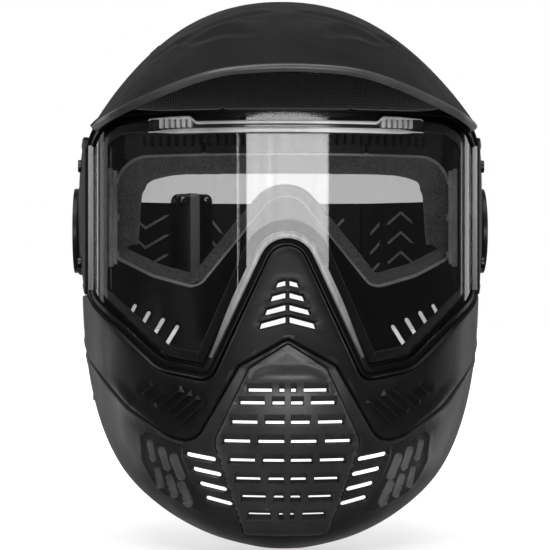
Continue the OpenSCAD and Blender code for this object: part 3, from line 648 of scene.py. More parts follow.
def stepped(corners, arc_steps, side_steps):
    """A closed outline whose sides are cut into equal counts, so that two outlines run together."""
    n = len(corners)
    arcs = [corner_arc(corners[i - 1], corners[i], corners[(i + 1) % n], arc_steps) for i in range(n)]
    path = []
    for i, arc in enumerate(arcs):
        path += arc
        after = arcs[(i + 1) % n][0]
        path += [arc[-1] + (after - arc[-1]) * k / side_steps[i] for k in range(1, side_steps[i])]
    return np.array(path)


ARC = 9
SIDE_STEPS = [12, 6, 12, 6, 48, 6, 12, 6, 12]
LENS_PATH = stepped(LENS_CORNERS, ARC, SIDE_STEPS)
LENS_OUT = outward(LENS_PATH)
EYE_PATH = stepped(EYE_CORNERS, ARC, SIDE_STEPS)
EYE_OUT = outward(EYE_PATH)


def rim(p, out):
    """Width of the frame's rim beside a point of the lens outline."""
    return RIM_W - ((RIM_W - RIM_SIDE) * out[0] ** 2 if abs(p[0]) > LENS_HALF_W / 2 else 0)


# Where the face shell ends beside the rim, with the gap between them
RIM_GAP = np.array([p + o * (rim(p, o) + FIT) for p, o in zip(LENS_PATH, LENS_OUT)])


def spans(path, x):
    """Lowest and highest z of an outline at x."""
    zs = []
    for a, b in zip(path, np.roll(path, -1, 0)):
        if (a[0] - x) * (b[0] - x) <= 0 and abs(a[0] - b[0]) > 1e-4:
            zs.append(a[1] + (b[1] - a[1]) * (x - a[0]) / (b[0] - a[0]))
    return min(zs), max(zs)


PANE_COLUMNS = 130
BEVEL = 0.25


def pane(name, node, path, v0, v1):
    """A clear pane with the outline of a path, in upright columns, between two heights off the lens front."""
    edge = path[:, 0].max() - 0.002
    own = [x for x in path[:, 0] if 0.05 < x < edge - 0.05]
    half = np.unique(np.round(np.concatenate([own, np.linspace(0.4, edge, PANE_COLUMNS)]), 3))
    rings = []
    for x in np.concatenate([-half[::-1], half]):
        low, high = spans(path, x)
        section = [(low + BEVEL, v0), (high - BEVEL, v0), (high, v0 - BEVEL), (high, v1 + BEVEL),
                   (high - BEVEL, v1), (low + BEVEL, v1), (low, v1 + BEVEL), (low, v0 - BEVEL)]
        rings.append([on_lens(x, z, v) for z, v in section])
    piece = make(name, loft(rings), lens_clear, sharp=30, replaces=[node], slot="lens_clear")
    piece.visible_shadow = False


GASKET_IN = 3.6
GASKET_W = 4.0
GASKET_FRONT = -PANE_T - FIT
GASKET_BACK = GASKET_FRONT - GASKET_T
inner_path = np.array([on_lens(*p, 0, -GASKET_IN, o)[[0, 2]] for p, o in zip(LENS_PATH, LENS_OUT)])
pane("outer_pane", "lens_outer", LENS_PATH, 0, -PANE_T)
pane("inner_pane", "lens_inner", inner_path, GASKET_BACK - FIT, GASKET_BACK - FIT - INNER_PANE_T)


def ring_piece(name, section, material, lumps=0.0, **kinds):
    """A closed ring along the lens outline; section(i) gives its points at step i."""
    points, faces = loft([section(i) for i in range(len(LENS_PATH))], closed=True)
    if lumps:
        points = points + np.random.default_rng(7).normal(0, lumps, points.shape)
    return make(name, (points, faces), material, **kinds)


def gasket_section(i):
    half = [(0, -0.3), (-0.3, 0), (0.3 - GASKET_W, 0), (-GASKET_W, -0.3), (-GASKET_W - 0.2, -GASKET_T / 2)]
    corners = half + [(-GASKET_W - u, -GASKET_T - v) for u, v in half]
    return [on_lens(*LENS_PATH[i], GASKET_FRONT + v, u - GASKET_IN, LENS_OUT[i]) for u, v in corners[::-1]]


gasket = ring_piece("lens_seal", gasket_section, gasket_black, replaces=["lens_gasket"], slot="gasket_foam")


# The goggle frame: a rim with a bead round the lens, and a funnel back to the eye opening

def frame_section(i):
    p, o = LENS_PATH[i], LENS_OUT[i]
    r = rim(p, o)
    k = r / RIM_W
    lip = 1.5 - 1.3 * float(smooth((o[1] - 0.8) / 0.15) * smooth((p[1] - 40) / 5))
    bead = [(2.0 * k, 0.7), (2.3 * k, 1.5), (2.8 * k, 2.1), (3.3 * k, 2.3), (3.8 * k, 2.05), (4.15 * k, 1.4)]
    front = [(-lip, FIT), (-lip, 0.95), (0.15 - lip, 1.15), (0.4, 1.2), (1.0 * k, 1.1), (1.5 * k, 0.6)] + bead
    back = [(r, 0.6), (r, -4.3), (r - 0.3, -4.8), (1.0, -8.4), (0.5, -8.7), (-1.6, -8.0), (-2.5, -6.6),
            (-2.5, -2.3), (FIT, -2.3), (FIT, FIT)]
    return [on_lens(*p, v, u, o) for u, v in front + back]


ring_piece("frame_rim", frame_section, frame_plastic, replaces=["goggle_frame"], slot="frame_plastic",
           sharp=50)

# The polished edge of the pane, over the lip of the rim, painted pale as a reflection: one strip at the nose
# and one at each side
STRIP = [(-2.9, 0.35), (-2.9, 1.2), (-2.3, 1.75), (-1.2, 2.0), (0.1, 1.95), (0.6, 1.6), (0.6, 1.28),
         (-1.55, 1.28), (-1.55, 0.35)]
STRIP_LOW = LENS_BOTTOM + 4


def lens_strip(name, places, material):
    """A strip along the edge of the pane, through places (x, z, outward, how far its inner part goes)."""
    rings = []
    for x, z, out, reach in places:
        rings.append([on_lens(x, z, v, u * reach if u < 0 else u, out) for u, v in STRIP])
    make(name, loft(rings), material, slot="frame_plastic", sharp=35)


nose_places = [(x, z, out, 0.45 + 0.55 * float(smooth((z - STRIP_LOW) / 30)))
               for (x, z), out in zip(LENS_PATH, LENS_OUT)
               if abs(x) < NOSE_HALF_W + 0.5 and STRIP_LOW < z < NOSE_POINT]
nose_places.sort(key=lambda place: place[0])
lens_strip("lens_nose_edge", nose_places, nose_edge_painted_reflection)
for s, side_name in SIDES:
    side_places = [(s * LENS_HALF_W, z, (s, 0.0), 1.0) for z in np.linspace(SIDE_Z + 3, LENS_TOP - 12, 40)]
    lens_strip("lens_edge_" + side_name, side_places, side_edge_painted_reflection)

FUNNEL_DEPTH = 24.0
LINING_HALF_W = 48.0
LINING_LOW = 42.4
EYE_Y = eye_y(EYE_PATH[:, 0])
FUNNEL_FROM = np.array([on_lens(*p, -6.6, -2.5, o) for p, o in zip(LENS_PATH, LENS_OUT)])
FUNNEL_TO = np.stack([EYE_PATH[:, 0], EYE_Y, EYE_PATH[:, 1]], 1)
FUNNEL_FROM, FUNNEL_TO = (np.concatenate([p, p[:1]]) for p in (FUNNEL_FROM, FUNNEL_TO))
FUNNEL_S = np.concatenate([[0], np.cumsum(np.linalg.norm(np.diff(FUNNEL_FROM, axis=0), axis=1))])
TOP_S = FUNNEL_S[np.argmax(np.where(np.abs(FUNNEL_FROM[:, 0]) < 3, FUNNEL_FROM[:, 2], -99))]


def funnel(s, w):
    """A point of the funnel: s runs along the lens outline and w from the lens back to the eye opening."""
    s = np.mod(s, FUNNEL_S[-1])
    f = np.clip(np.asarray(w, float) / FUNNEL_DEPTH, -0.2, 1.2)[..., None]
    from_lens = np.stack(columns_at(s, FUNNEL_S, FUNNEL_FROM), -1)
    to_eye = np.stack(columns_at(s, FUNNEL_S, FUNNEL_TO), -1)
    return from_lens * (1 - f) + to_eye * f


FUNNEL_GRID = np.stack(np.meshgrid(np.linspace(0, FUNNEL_S[-1], 1600), np.linspace(0, FUNNEL_DEPTH, 60)), -1)
FUNNEL_SEEN = funnel(FUNNEL_GRID[..., 0], FUNNEL_GRID[..., 1])


def on_funnel(x, z):
    """Where the funnel is seen at x, z of the front view, as s and w."""
    d = (FUNNEL_SEEN[..., 0] - x) ** 2 + (FUNNEL_SEEN[..., 2] - z) ** 2
    s, w = FUNNEL_GRID[np.unravel_index(int(np.argmin(d)), d.shape)]
    for _ in range(4):
        here = funnel(s, w)
        ds = (funnel(s + 0.05, w) - here)[[0, 2]] / 0.05
        dw = (funnel(s, w + 0.05) - here)[[0, 2]] / 0.05
        off = np.array([x, z]) - here[[0, 2]]
        det = ds[0] * dw[1] - ds[1] * dw[0]
        if abs(det) < 1e-4:
            break
        s += np.clip((off[0] * dw[1] - off[1] * dw[0]) / det, -1, 1)
        w += np.clip((ds[0] * off[1] - ds[1] * off[0]) / det, -1, 1)
    return s, w


def funnel_line(path):
    """A line of the front view as it lies on the funnel, and the same line on the other side."""
    lines = []
    for half in both_sides(path):
        flat = np.array([on_funnel(x, z) for x, z in resampled(half, 1.2)])
        lines.append(np.stack([np.mod(flat[:, 0] - TOP_S, FUNNEL_S[-1]), flat[:, 1]], 1))
    return lines


# Vents at the foot, and the pockets between the teeth of the comb
COMB_FROM = 19.5
COMB_PITCH = 3.75
funnel_cut = []
for i in range(4):
    low, high = (72.3 - 5.7 * i, -42.7 - 4.2 * i), (69.1 - 6.6 * i, -36.2 - 3.1 * i)
    funnel_cut += funnel_line(capsule(low, high, 2.1))
pockets = []
for i in range(13):
    x = COMB_FROM + COMB_PITCH * i
    pockets += funnel_line(box_line(x - 0.8, x + 0.8, 36.8, 41.2))
pockets += funnel_line(box_line(36.2, 38.2, 32.5, 38.0))
funnel_frame = box_line(0, FUNNEL_S[-1], 0, FUNNEL_DEPTH)


def in_funnel(s, w):
    return (s > 0) & (s < FUNNEL_S[-1]) & (w > 0) & (w < FUNNEL_DEPTH) & clear_of(funnel_cut, s, w)


def funnel_relief(s, w):
    """The comb's teeth stand between pockets, and the cloth ends in a low step."""
    seen = funnel(s + TOP_S, w)
    lining = smooth((LINING_HALF_W - np.abs(seen[:, 0])) / 0.8) * smooth((seen[:, 2] - LINING_LOW) / 0.6)
    return 0.5 * lining - 1.3 * np.sum([within(h, s, w) for h in pockets], axis=0)


def funnel_back(base, normal):
    """Straight back at the foot, where vents are cut, and outward along the top wall."""
    foot = smooth((20 - base[:, 2]) / 20)[:, None]
    return -normal * (1 - foot) + np.array([0, 1.0, 0]) * foot


funnel_lines = [(h, True) for h in [funnel_frame] + funnel_cut + pockets]
shape, (s, w, tris) = panel(lambda s, w: funnel(s + TOP_S, w), funnel_lines, in_funnel, 2.6, FRAME_WALL,
                            funnel_relief, edge_r=0.7, through=funnel_back)
middle = np.stack([s[tris].mean(1), w[tris].mean(1)])
seen = funnel(middle[0] + TOP_S, middle[1])
lined = (np.abs(seen[:, 0]) < LINING_HALF_W) & (seen[:, 2] > LINING_LOW)
wall = (seen[:, 2] > 31) & (np.abs(seen[:, 0]) < 74)
# The pockets get the dark foam and the lining the cloth; the top wall is painted paler, as painted light
paint = np.zeros(len(shape[1]), int)
paint[:len(tris)] = np.where(~clear_of(pockets, *middle), 1, np.where(lined, 2, np.where(wall, 3, 0)))
make("frame_funnel", shape, [funnel_plastic, gasket_black, pad_weave, funnel_top_painted_light], slot="frame_plastic",
     paint=paint)

# A rounded lip where the funnel ends at the eye opening, painted near white as a highlight
EYE_LIP_R = 0.8
lip_rings = []
for e, q, y in zip(EYE_PATH, EYE_OUT, EYE_Y):
    lip_rings.append([(e[0] + q[0] * (0.5 + EYE_LIP_R * math.cos(a)), y - 0.2 + EYE_LIP_R * math.sin(a),
                       e[1] + q[1] * (0.5 + EYE_LIP_R * math.cos(a))) for a in around(10)])
make("eye_lip", loft(lip_rings, closed=True), eye_lip_painted_highlight, slot="frame_plastic")

# The face foam, seen inside the eye opening
FOAM_IN = 5.5
FOAM_FOOT = -10.0
FOAM_OPENING = rounded(mirrored([(0, -60, 1), (60, -60, 1), (FOAM_SIDE, -20, 8),
                                 (FOAM_SIDE, FOAM_TOP, 15)]), 8)


def foam_width(e, q):
    """How far the foam reaches in from a point of the eye opening; it is narrow along the foot."""
    for reach in np.arange(0.5, 22, 0.25):
        if e[1] >= FOAM_FOOT and within(FOAM_OPENING, *(e - q * reach)):
            return max(reach, FOAM_IN)
    return FOAM_IN


foam_reach = np.array([foam_width(e, q) for e, q in zip(EYE_PATH, EYE_OUT)])
for _ in range(6):
    foam_reach = (np.roll(foam_reach, 1) + foam_reach + np.roll(foam_reach, -1)) / 3


def foam_section(i):
    e, q = EYE_PATH[i], EYE_OUT[i]
    shape = [(-3.3, 0), (2.2, 0), (3.2, 1.2), (3.5, 4), (3.5, 8), (3.3, 11), (2, 13.3), (-0.8, 14),
             (-3.4, 12.8), (-4.9, 9.8), (-FOAM_IN, 6.5), (-5.2, 3), (-4.5, 1)]
    shape = [(a * foam_reach[i] / FOAM_IN if a < 0 else a, b) for a, b in shape]
    return [(e[0] + q[0] * a, EYE_Y[i] + 0.8 + b, e[1] + q[1] * a) for a, b in shape]


face_foam = ring_piece("foam_ring", foam_section, foam_grey, lumps=0.05, replaces=["face_foam"],
                       slot="cushion_foam", sharp=70)

# The lower mask: rows of height, half width, front, widest point and rear edge
LOWER_ROWS = np.array([
    [8, 97, -130, -16, 22], [-30, 97, -135, -16, 20], [-60, 95, -139, -18, 12], [-85, 90, -139, -24, -2],
    [-105, 82, -135, -34, -18], [-120, 71, -128, -46, -36], [-133, 54, -117, -60, -56],
    [-142, 34, -104, -76, -74], [-147, 12, -93, -86, -85], [-147.3, 1, -89, -87, -86.8]], float)
U_PER_DEGREE = 1.75
U_SIDE = 90 * U_PER_DEGREE


def between(rows, q):
    """A smooth row between the rows of a table."""
    last = len(rows) - 1
    i = np.minimum(np.floor(q).astype(int), last - 1)
    f = (q - i)[:, None]
    a, b, c, d = rows[np.maximum(i - 1, 0)], rows[i], rows[i + 1], rows[np.minimum(i + 2, last)]
    bend = (2 * a - 5 * b + 4 * c - d) * f ** 2 + (3 * b - a - 3 * c + d) * f ** 3
    return 0.5 * (2 * b + (c - a) * f + bend)


LOWER = between(LOWER_ROWS, np.linspace(0, len(LOWER_ROWS) - 1, 1400))
LOWER[:, 0] = np.minimum.accumulate(LOWER[:, 0] - np.arange(len(LOWER)) * 1e-6)
steps = np.abs(np.diff(LOWER, axis=0))
LOWER_V = np.concatenate([[0], np.cumsum(np.hypot(steps[:, 0], 0.5 * steps[:, 1] + 0.5 * steps[:, 2]))])


def lower(u, v):
    """A point of the lower mask: u runs round it from the middle and v down it."""
    z, w, f, c, _ = columns_at(v, LOWER_V, LOWER)
    t = np.radians(np.minimum(np.abs(u) / U_PER_DEGREE, 90))
    y = c - (c - f) * np.cos(t) + np.maximum(0, np.abs(u) - U_SIDE)
    return np.stack([w * np.sin(t) * np.sign(u), y, z], -1)


def to_lower(x, z):
    """u and v of the lower mask's front where it is seen at x, z."""
    v = np.interp(-np.asarray(z, float), -LOWER[:, 0], LOWER_V)
    w = np.interp(v, LOWER_V, LOWER[:, 1])
    t = np.degrees(np.arcsin(np.clip(np.abs(x) / w, 0, 1)))
    return np.stack([np.sign(x) * t * U_PER_DEGREE, v], -1)


def on_lower(path):
    return to_lower(*np.array(path, float).T)


def lower_rear(v):
    """Where u ends at the rear edge."""
    return U_SIDE + np.interp(v, LOWER_V, LOWER[:, 4]) - np.interp(v, LOWER_V, LOWER[:, 3])


def seen_line(path, top):
    """The part of a closed front outline below top that lies on the lower mask, run from left to right."""
    path = resampled(path, 0.8)
    path = np.roll(path, -int(np.argmax(path[:, 1])), 0)
    w = np.interp(-path[:, 1], -LOWER[:, 0], LOWER[:, 1])
    return path[(np.abs(path[:, 0]) < w - 0.02) & (path[:, 1] < top)]


FOLLOWED_BELOW = -45.0
BRIDGE_Z = 6.0
SEAM_CORNERS = mirrored([(0, -50, 3), (21.5, -62, 3), (41.5, -97, 9), (53.5, -94, 12), (72, -82.5, 20),
                         (92, -63, 12), (103, -46, 1), (103, 60, 1)])
SEAM = rounded(SEAM_CORNERS, 6)
GRILLE_CORNERS = mirrored([(18.5, -139.5, 2), (GRILLE_HALF_W, -98, 3), (GRILLE_HALF_W, -94, 3), (17, -63, 3),
                           (0, -52, 2)])
GRILLE = rounded(GRILLE_CORNERS, 4)


def seam_line(by):
    """The seam as one line over the mask, level along both side legs."""
    line = on_lower(seen_line(grown(SEAM, by), FOLLOWED_BELOW))
    first, last = line[0][1], line[-1][1]
    end = U_SIDE + REACH
    return np.concatenate([[(-end, first), (-U_SIDE, first)], line, [(U_SIDE, last), (end, last)]])


rear_v = np.linspace(0, LOWER_V[-1], 90)
rear_right = np.stack([lower_rear(rear_v), rear_v], 1)
rear_left = rear_right * [-1, 1]

# The slanted ribs of the cheeks: two short ones, then four long ones
CHEEK_RIBS = [((64.6, -75.4), (60.6, -72.6)), ((60.4, -78.6), (56.2, -75.0))]
CHEEK_RIBS += [((57.6 - 3.7 * i, -81.4 - 2.1 * i), (48.0 - 3.9 * i, -73.6 - 1.5 * i)) for i in range(4)]


def nose_vent(i):
    """The middle line of a nose vent, from its inner to its outer end."""
    return (0.95, -25.4 - 5.35 * i), (4.6 + 2.5 * i, -26.3 - 6 * i)


def nose_slot(i):
    """Its outline: upright at the inner end and slanted at the outer one."""
    (x0, z0), (x1, z1) = nose_vent(i)
    high = 1.05 + 0.06 * i
    return rounded([(x0, z0 - high, 0.25), (x1 + 0.5, z1 - high, 0.25), (x1 - 0.4, z1 + high, 0.3),
                    (x0, z0 + high, 0.25)], 3)


def face_relief(u, v):
    """A bead along the seam, a sunk cheek with its ribs, and a rebate round each nose vent."""
    seen = lower(u, v)
    x, z = np.abs(seen[:, 0]), seen[:, 2]
    seam = to_path(seen[:, 0], z, SEAM)
    cheek = smooth((x - 30) / 8) * smooth((84 - x) / 14)
    height = 0.55 * ridge(seam, 1.9, 1.0) - 0.8 * smooth((seam - 4.2) / 1.3) * cheek * smooth((-58 - z) / 8)
    for a, b in CHEEK_RIBS:
        rib = to_segment(x, z, a, b)
        sunk = to_segment(x, z, (a[0] + 1.5, a[1] + 0.6), (b[0] + 1.5, b[1] + 0.6))
        height += trough(rib, 0.2, 0.7) - 0.95 * trough(sunk, 0.5, 0.9) * smooth((rib - 0.6) / 0.5)
    for i in range(4):
        height -= 0.45 * trough(to_segment(x, z, *nose_vent(i)), 1.6, 0.5)
    return height


side_v = to_lower(90, SIDE_Z)[1]
face_top = on_lower([(x, SIDE_Z) for x in np.linspace(80, 96.9, 12)])
face_top = np.concatenate([face_top, [(U_SIDE, side_v), (U_SIDE + REACH, side_v)]])
vents = [half for i in range(4) for half in both_sides(nose_slot(i))]
seam_inner = grown(SEAM, -FIT)


def in_face(u, v):
    x, _, z = lower(u, v).T
    hit = within(seam_inner, x, z) & ~within(RIM_GAP, x, z) & (np.abs(u) < lower_rear(v))
    return hit & np.where(np.abs(x) > NOSE_HALF_W, z < SIDE_Z, z < BRIDGE_Z) & clear_of(vents, x, z)


face_lines = [(seam_line(-FIT), False), (on_lower(seen_line(RIM_GAP, BRIDGE_Z)), False),
              (face_top, False), (face_top * [-1, 1], False), (rear_left, False), (rear_right, False)]
face_lines += [(on_lower(h), True) for h in vents]
for a, b in CHEEK_RIBS:
    for shift in (0.0, 1.2):
        line = resampled(np.array([a, b], float) + [shift, 0.5 * shift], 0.8, False)
        face_lines += [(on_lower(line), False), (on_lower(line * [-1, 1]), False)]
shape, _ = panel(lower, face_lines, in_face, 2.2, SHELL_T, face_relief, edge_r=0.9, fine=1.1, flip=True)
make("face_skin", shape, face_plastic, replaces=["face_shell"], slot="face_plastic")

# Strips behind the seams, which close the gaps to the light
LAP_GAP = 0.25
LAP_T = 1.0
LAP_HALF_W = 2.2


def lap(name, line, across, outside, slot):
    """A strip behind a seam of the lower mask, from across[0] to across[1] beside it, that closes the gap."""
    u, v = line.T
    at = lower(u, v)
    out = surface_normal(lower, u, v, 0.3, 0.3)
    out = out * np.where((out[:, :2] * (at[:, :2] - [0, -20])).sum(1) > 0, 1, -1)[:, None]
    side = unit(np.cross(out, unit(np.gradient(at, axis=0))))
    test = at + side
    if np.mean(within(outside, test[:, 0], test[:, 2])) > 0.5:
        side = -side
    a, b = across
    front = -SHELL_T - LAP_GAP
    back = front - LAP_T
    section = [(a, back + 0.2), (a, front), (b - 0.2, front), (b, front - 0.2), (b, back + 0.2),
               (b - 0.2, back)]
    rings = [[p + s * c + n * d for c, d in section] for p, s, n in zip(at, side, out)]
    make(name, loft(rings), gasket_black, slot=slot, sharp=40)


seam_middle = resampled(seam_line(0), 1.5, False)
seam_middle = seam_middle[np.abs(seam_middle[:, 0]) < lower_rear(seam_middle[:, 1]) - 1.2]
lap("seam_lap", seam_middle, (-LAP_HALF_W, LAP_HALF_W), SEAM, "face_plastic")

# The flange of the face shell, from its edge at the lens back to the frame's rim
FLANGE_OUT = 1.0
FLANGE_IN = -0.28
flange_line = resampled(RIM_GAP, 1.5)
flange_out = outward(flange_line)
flange_rings = []
for i in np.roll(np.arange(len(flange_line)), -int(np.argmax(flange_line[:, 1]))):
    (x, z), (ox, oz) = flange_line[i], flange_out[i]
    if z < (BRIDGE_Z if abs(x) < NOSE_HALF_W else SIDE_Z + 3) and abs(x) <= 94:
        front = lower(*on_lower([(x, z)]).T)[0][1] + SHELL_T + 0.5
        back = max(on_lens(x, z, -4.0)[1], front) + 1.0
        section = [(FLANGE_IN, front), (FLANGE_OUT, front), (FLANGE_OUT, back), (FLANGE_IN, back)]
        flange_rings.append([(x + ox * d, y, z + oz * d) for d, y in section])
make("face_flange", loft(flange_rings), face_plastic, slot="face_plastic", sharp=40)

# A lap under each pod, where the face shell ends
POD_LAP_FROM = 118.0
POD_LAP_TO = U_SIDE + 34.0
above = box_line(-200, 200, SIDE_Z, 200)
for s, side_name in SIDES:
    top_line = resampled(np.array([(s * POD_LAP_FROM, side_v), (s * POD_LAP_TO, side_v)]), 1.5, False)
    lap("pod_lap_" + side_name, top_line, (-LAP_HALF_W, LAP_HALF_W), above, "face_plastic")

# The jaw shell: four open slots and a field of blind windows on each side


def side_slot(i):
    """The middle line of a slot, from its inner to its outer end."""
    return (GRILLE_HALF_W + 0.9 - 2.4 * i, -103.7 - 6.9 * i), (44 - 3 * i, -102.0 - 6.7 * i)


side_slots = [half for i in range(4) for half in both_sides(capsule(*side_slot(i), 2.0 + 0.12 * i, 3))]
windows = []
for i in range(3):
    for j in range(2):
        top = (62 - 5.6 * i - 3.4 * j, -98 - 3 * i - 12.6 * j)
        windows.append((top, (top[0] - 1.5 - 0.9 * i, top[1] - 7.5 - 0.5 * i), 3.0 + 0.6 * i))
FIELD = rounded([(65.5, -92, 3), (46.6, -97.7, 1.5), (46.4, -103, 2), (42, -114.3, 4), (32.5, -129.5, 1),
                 (45.6, -125.5, 4), (57, -120, 4), (60.5, -114.6, 4), (64.5, -107, 4)], 3)
seam_outer = grown(SEAM, FIT)
grille_gap = grown(GRILLE, FIT)
grille_middle = on_lower(seen_line(grown(GRILLE, FIT / 2), FOLLOWED_BELOW))
lap("grille_lap", grille_middle, (-0.6, LAP_HALF_W), GRILLE, "jaw_plastic")


def jaw_relief(u, v):
    """A bead along the seam, the sunk field with its border and windows, and a rebate round each slot."""
    seen = lower(u, v)
    x, z = np.abs(seen[:, 0]), seen[:, 2]
    inside = within(FIELD, x, z)
    border = to_path(x, z, FIELD)
    height = 0.5 * ridge(to_path(seen[:, 0], z, SEAM), 1.5, 0.8)
    height += 0.35 * ridge(border, 0.5, 0.5) * ~inside - 0.45 * smooth(border / 0.8) * inside
    for a, b, width in windows:
        height -= 1.5 * trough(to_segment(x, z, a, b), width / 2 - 0.5, 0.5)
    for i in range(4):
        height -= 0.4 * trough(to_segment(x, z, *side_slot(i)), 1.2, 0.7)
    return height


def in_jaw(u, v):
    x, _, z = lower(u, v).T
    mouth = within(grille_gap, x, z) & (np.abs(u) < U_SIDE)
    hit = ~within(seam_outer, x, z) & ~mouth & (np.abs(u) < lower_rear(v)) & clear_of(side_slots, x, z)
    return hit & (v < LOWER_V[-1]) & (z < FOLLOWED_BELOW)


def jaw_back(base, normal):
    """Straight back where the slots are, so that one sees through them, and straight in elsewhere."""
    x, z = np.abs(base[:, 0]), base[:, 2]
    slots = (smooth((50 - x) / 6) * smooth((-94 - z) / 6) * smooth((z + 137) / 7))[:, None]
    back = np.array([0, 1.0, 0]) / np.maximum(-normal[:, 1:2], 0.6)
    return -normal * (1 - slots) + back * slots


jaw_lines = [(seam_line(FIT), False), (on_lower(resampled(grille_gap, 0.8)), True), (rear_left, False),
             (rear_right, False), (np.array([(-2.0, LOWER_V[-1]), (2.0, LOWER_V[-1])]), False)]
jaw_outlines = list(side_slots)
for a, b, width in windows:
    jaw_outlines += both_sides(capsule(a, b, width - 0.2, 3))
jaw_lines += [(on_lower(h), True) for h in jaw_outlines + both_sides(FIELD)]
shape, (u, v, tris) = panel(lower, jaw_lines, in_jaw, 2.4, SHELL_T, jaw_relief, edge_r=0.9, fine=1.1,
                            flip=True, through=jaw_back)
mid = lower(u[tris].mean(1), v[tris].mean(1))
# The floors of the windows are painted paler, as painted light on the slats
paint = np.zeros(len(shape[1]), int)
for a, b, width in windows:
    paint[:len(tris)] |= to_segment(np.abs(mid[:, 0]), mid[:, 2], a, b) < width / 2 - 0.1
make("jaw_skin", shape, [jaw_plastic, window_painted_light], replaces=["jaw_shell"], slot="jaw_plastic", paint=paint)

# The mouth grille

RIB = 1.5
SLIT_H = 1.3
LOUVRE_H = 4.6


def grille_z(i):
    """Lowest edge of the slots in row i; the first two rows are close together."""
    return -73.1 if i < 1 else -78.8 - 8.75 * (i - 1)


def grille_slots():
    """Both slots of each row on one side, as x from, x to, z and the louvre's height."""
    for i in range(8):
        mid = 5.4 + 3.2 * i if i < 4 else 15.3 - 2.5 * (i - 3)
        end = 18 + 3.7 * i if i < 4 else 29.2 - 2.85 * (i - 3)
        tall = 3.9 if i in (0, 1) else LOUVRE_H
        yield RIB - 0.2, mid - RIB, grille_z(i), tall
        yield mid + RIB, end, grille_z(i), tall


def grille_relief(u, v):
    """A raised border, a crease and a brow at the top, and a recess that slopes down to each slot."""
    seen = lower(u, v)
    x, z = np.abs(seen[:, 0]), seen[:, 2]
    edge = to_path(seen[:, 0], z, GRILLE)
    height = 0.8 * ridge(edge, 0.9, 0.65) - 0.5 * ridge(z, -61.6, 0.35) * (x < 13.5)
    height += ridge(z, -66.5, 3.6) * smooth((edge - 1) / 5)
    for x0, x1, z0, tall in grille_slots():
        side = smooth(np.minimum(x - x0, x1 - x) / 0.5)
        down = np.clip((z0 + tall - z) / (tall - SLIT_H), 0, 1)
        here = (z > z0 - 0.3) & (z < z0 + tall)
        height -= 2.3 * side * down ** 0.8 * here * smooth((z - z0 + 0.35) / 0.35)
    return height


slits = []
louvres = []
for x0, x1, z0, tall in grille_slots():
    slits += both_sides(box_line(x0 + 0.25, x1 - 0.25, z0, z0 + SLIT_H))
    louvres += both_sides(box_line(x0, x1, z0 - 0.35, z0 + tall))


def in_grille(u, v):
    x, _, z = lower(u, v).T
    return within(GRILLE, x, z) & (np.abs(u) < U_SIDE) & clear_of(slits, x, z)


grille_lines = [(on_lower(h), True) for h in [GRILLE] + [resampled(h, 1.0) for h in slits + louvres]]
shape, _ = panel(lower, grille_lines, in_grille, 1.5, 3.2, grille_relief, edge_r=0.45, fine=0.9, flip=True)
make("grille_skin", shape, grille_plastic, replaces=["mouth_grille"], slot="grille_plastic")

# The visor: a lip curve, a rear rim curve and a bulged section between them

VISOR_ACROSS = 150
VISOR_ALONG = 44
VISOR_END = math.radians(89.4)
VISOR_LIP_R = 1.85
CLEAR_R = LENS_CORNER_R + 4.9
CORNER_FRONT = -77.0
CORNER_BACK = -48.0
LIP_ENDS_Y = -80
LIP_OUT = 84
LIP_POWER = 2 / 2.3
LIP_Z = 68.5
LIP_DROP = 0.4
LIP_FLAT_HALF_W = 32
LIP_SOFT = 16
REAR_HALF_W = 92
REAR_Y = -45
REAR_BACK = 25
REAR_SHARE = 0.745
REAR_POWER = 0.94
REAR_LOW = 10


def visor_lip(t):
    """The lip, a rounded box in plan that is flat in the middle and drops to both sides."""
    x = (LENS_HALF_W - 1) * np.sign(t) * np.abs(np.sin(t)) ** LIP_POWER
    aside = np.abs(x) - LIP_FLAT_HALF_W
    aside = (aside + np.sqrt(aside * aside + LIP_SOFT ** 2)) / 2
    y = LIP_ENDS_Y - LIP_OUT * np.maximum(np.cos(t), 0) ** LIP_POWER
    return np.stack([x, y, LIP_Z - LIP_DROP * aside], -1)


def visor_rim(t):
    """The rear rim, an arch over the crown that runs back towards its ends."""
    a = REAR_SHARE * t
    x = REAR_HALF_W * np.sign(t) * np.abs(np.sin(a)) ** REAR_POWER
    z = REAR_LOW + (CROWN_Z - REAR_LOW) * np.maximum(np.cos(a), 0) ** REAR_POWER
    return np.stack([x, REAR_Y + REAR_BACK * (1 - np.cos(t)), z], -1)


def cubic(a, b, p, q, s):
    """A curve from a to b, drawn towards p and then towards q."""
    s = np.asarray(s, float)[..., None]
    return a * (1 - s) ** 3 + p * 3 * s * (1 - s) ** 2 + q * 3 * s * s * (1 - s) + b * s ** 3


def visor(t, s):
    """The visor's outer face: t runs from side to side, s from the lip to the rear rim."""
    t, s = np.broadcast_arrays(np.asarray(t, float), np.asarray(s, float))
    a, b = visor_lip(t), visor_rim(t)
    up = np.stack([0.7 * np.sin(t), 0 * t, np.cos(t)], -1) * 11 * np.cos(t)[..., None]
    return cubic(a, b, a + (b - a) * 0.3 + up, a + (b - a) * 0.72 + up * 0.6, s)


SCOOP = rounded([(-55, 83, 2), (-31, 90.5, 3), (-17.5, 91, 2), (-14, 81.5, 2), (-30, 82.5, 4), (-42, 79, 4)],
                4)
SCOOP_TAIL = np.array([(-60, 76), (-48, 83.5), (-33, 91.5), (-18, 96.5), (-6, 98)], float)


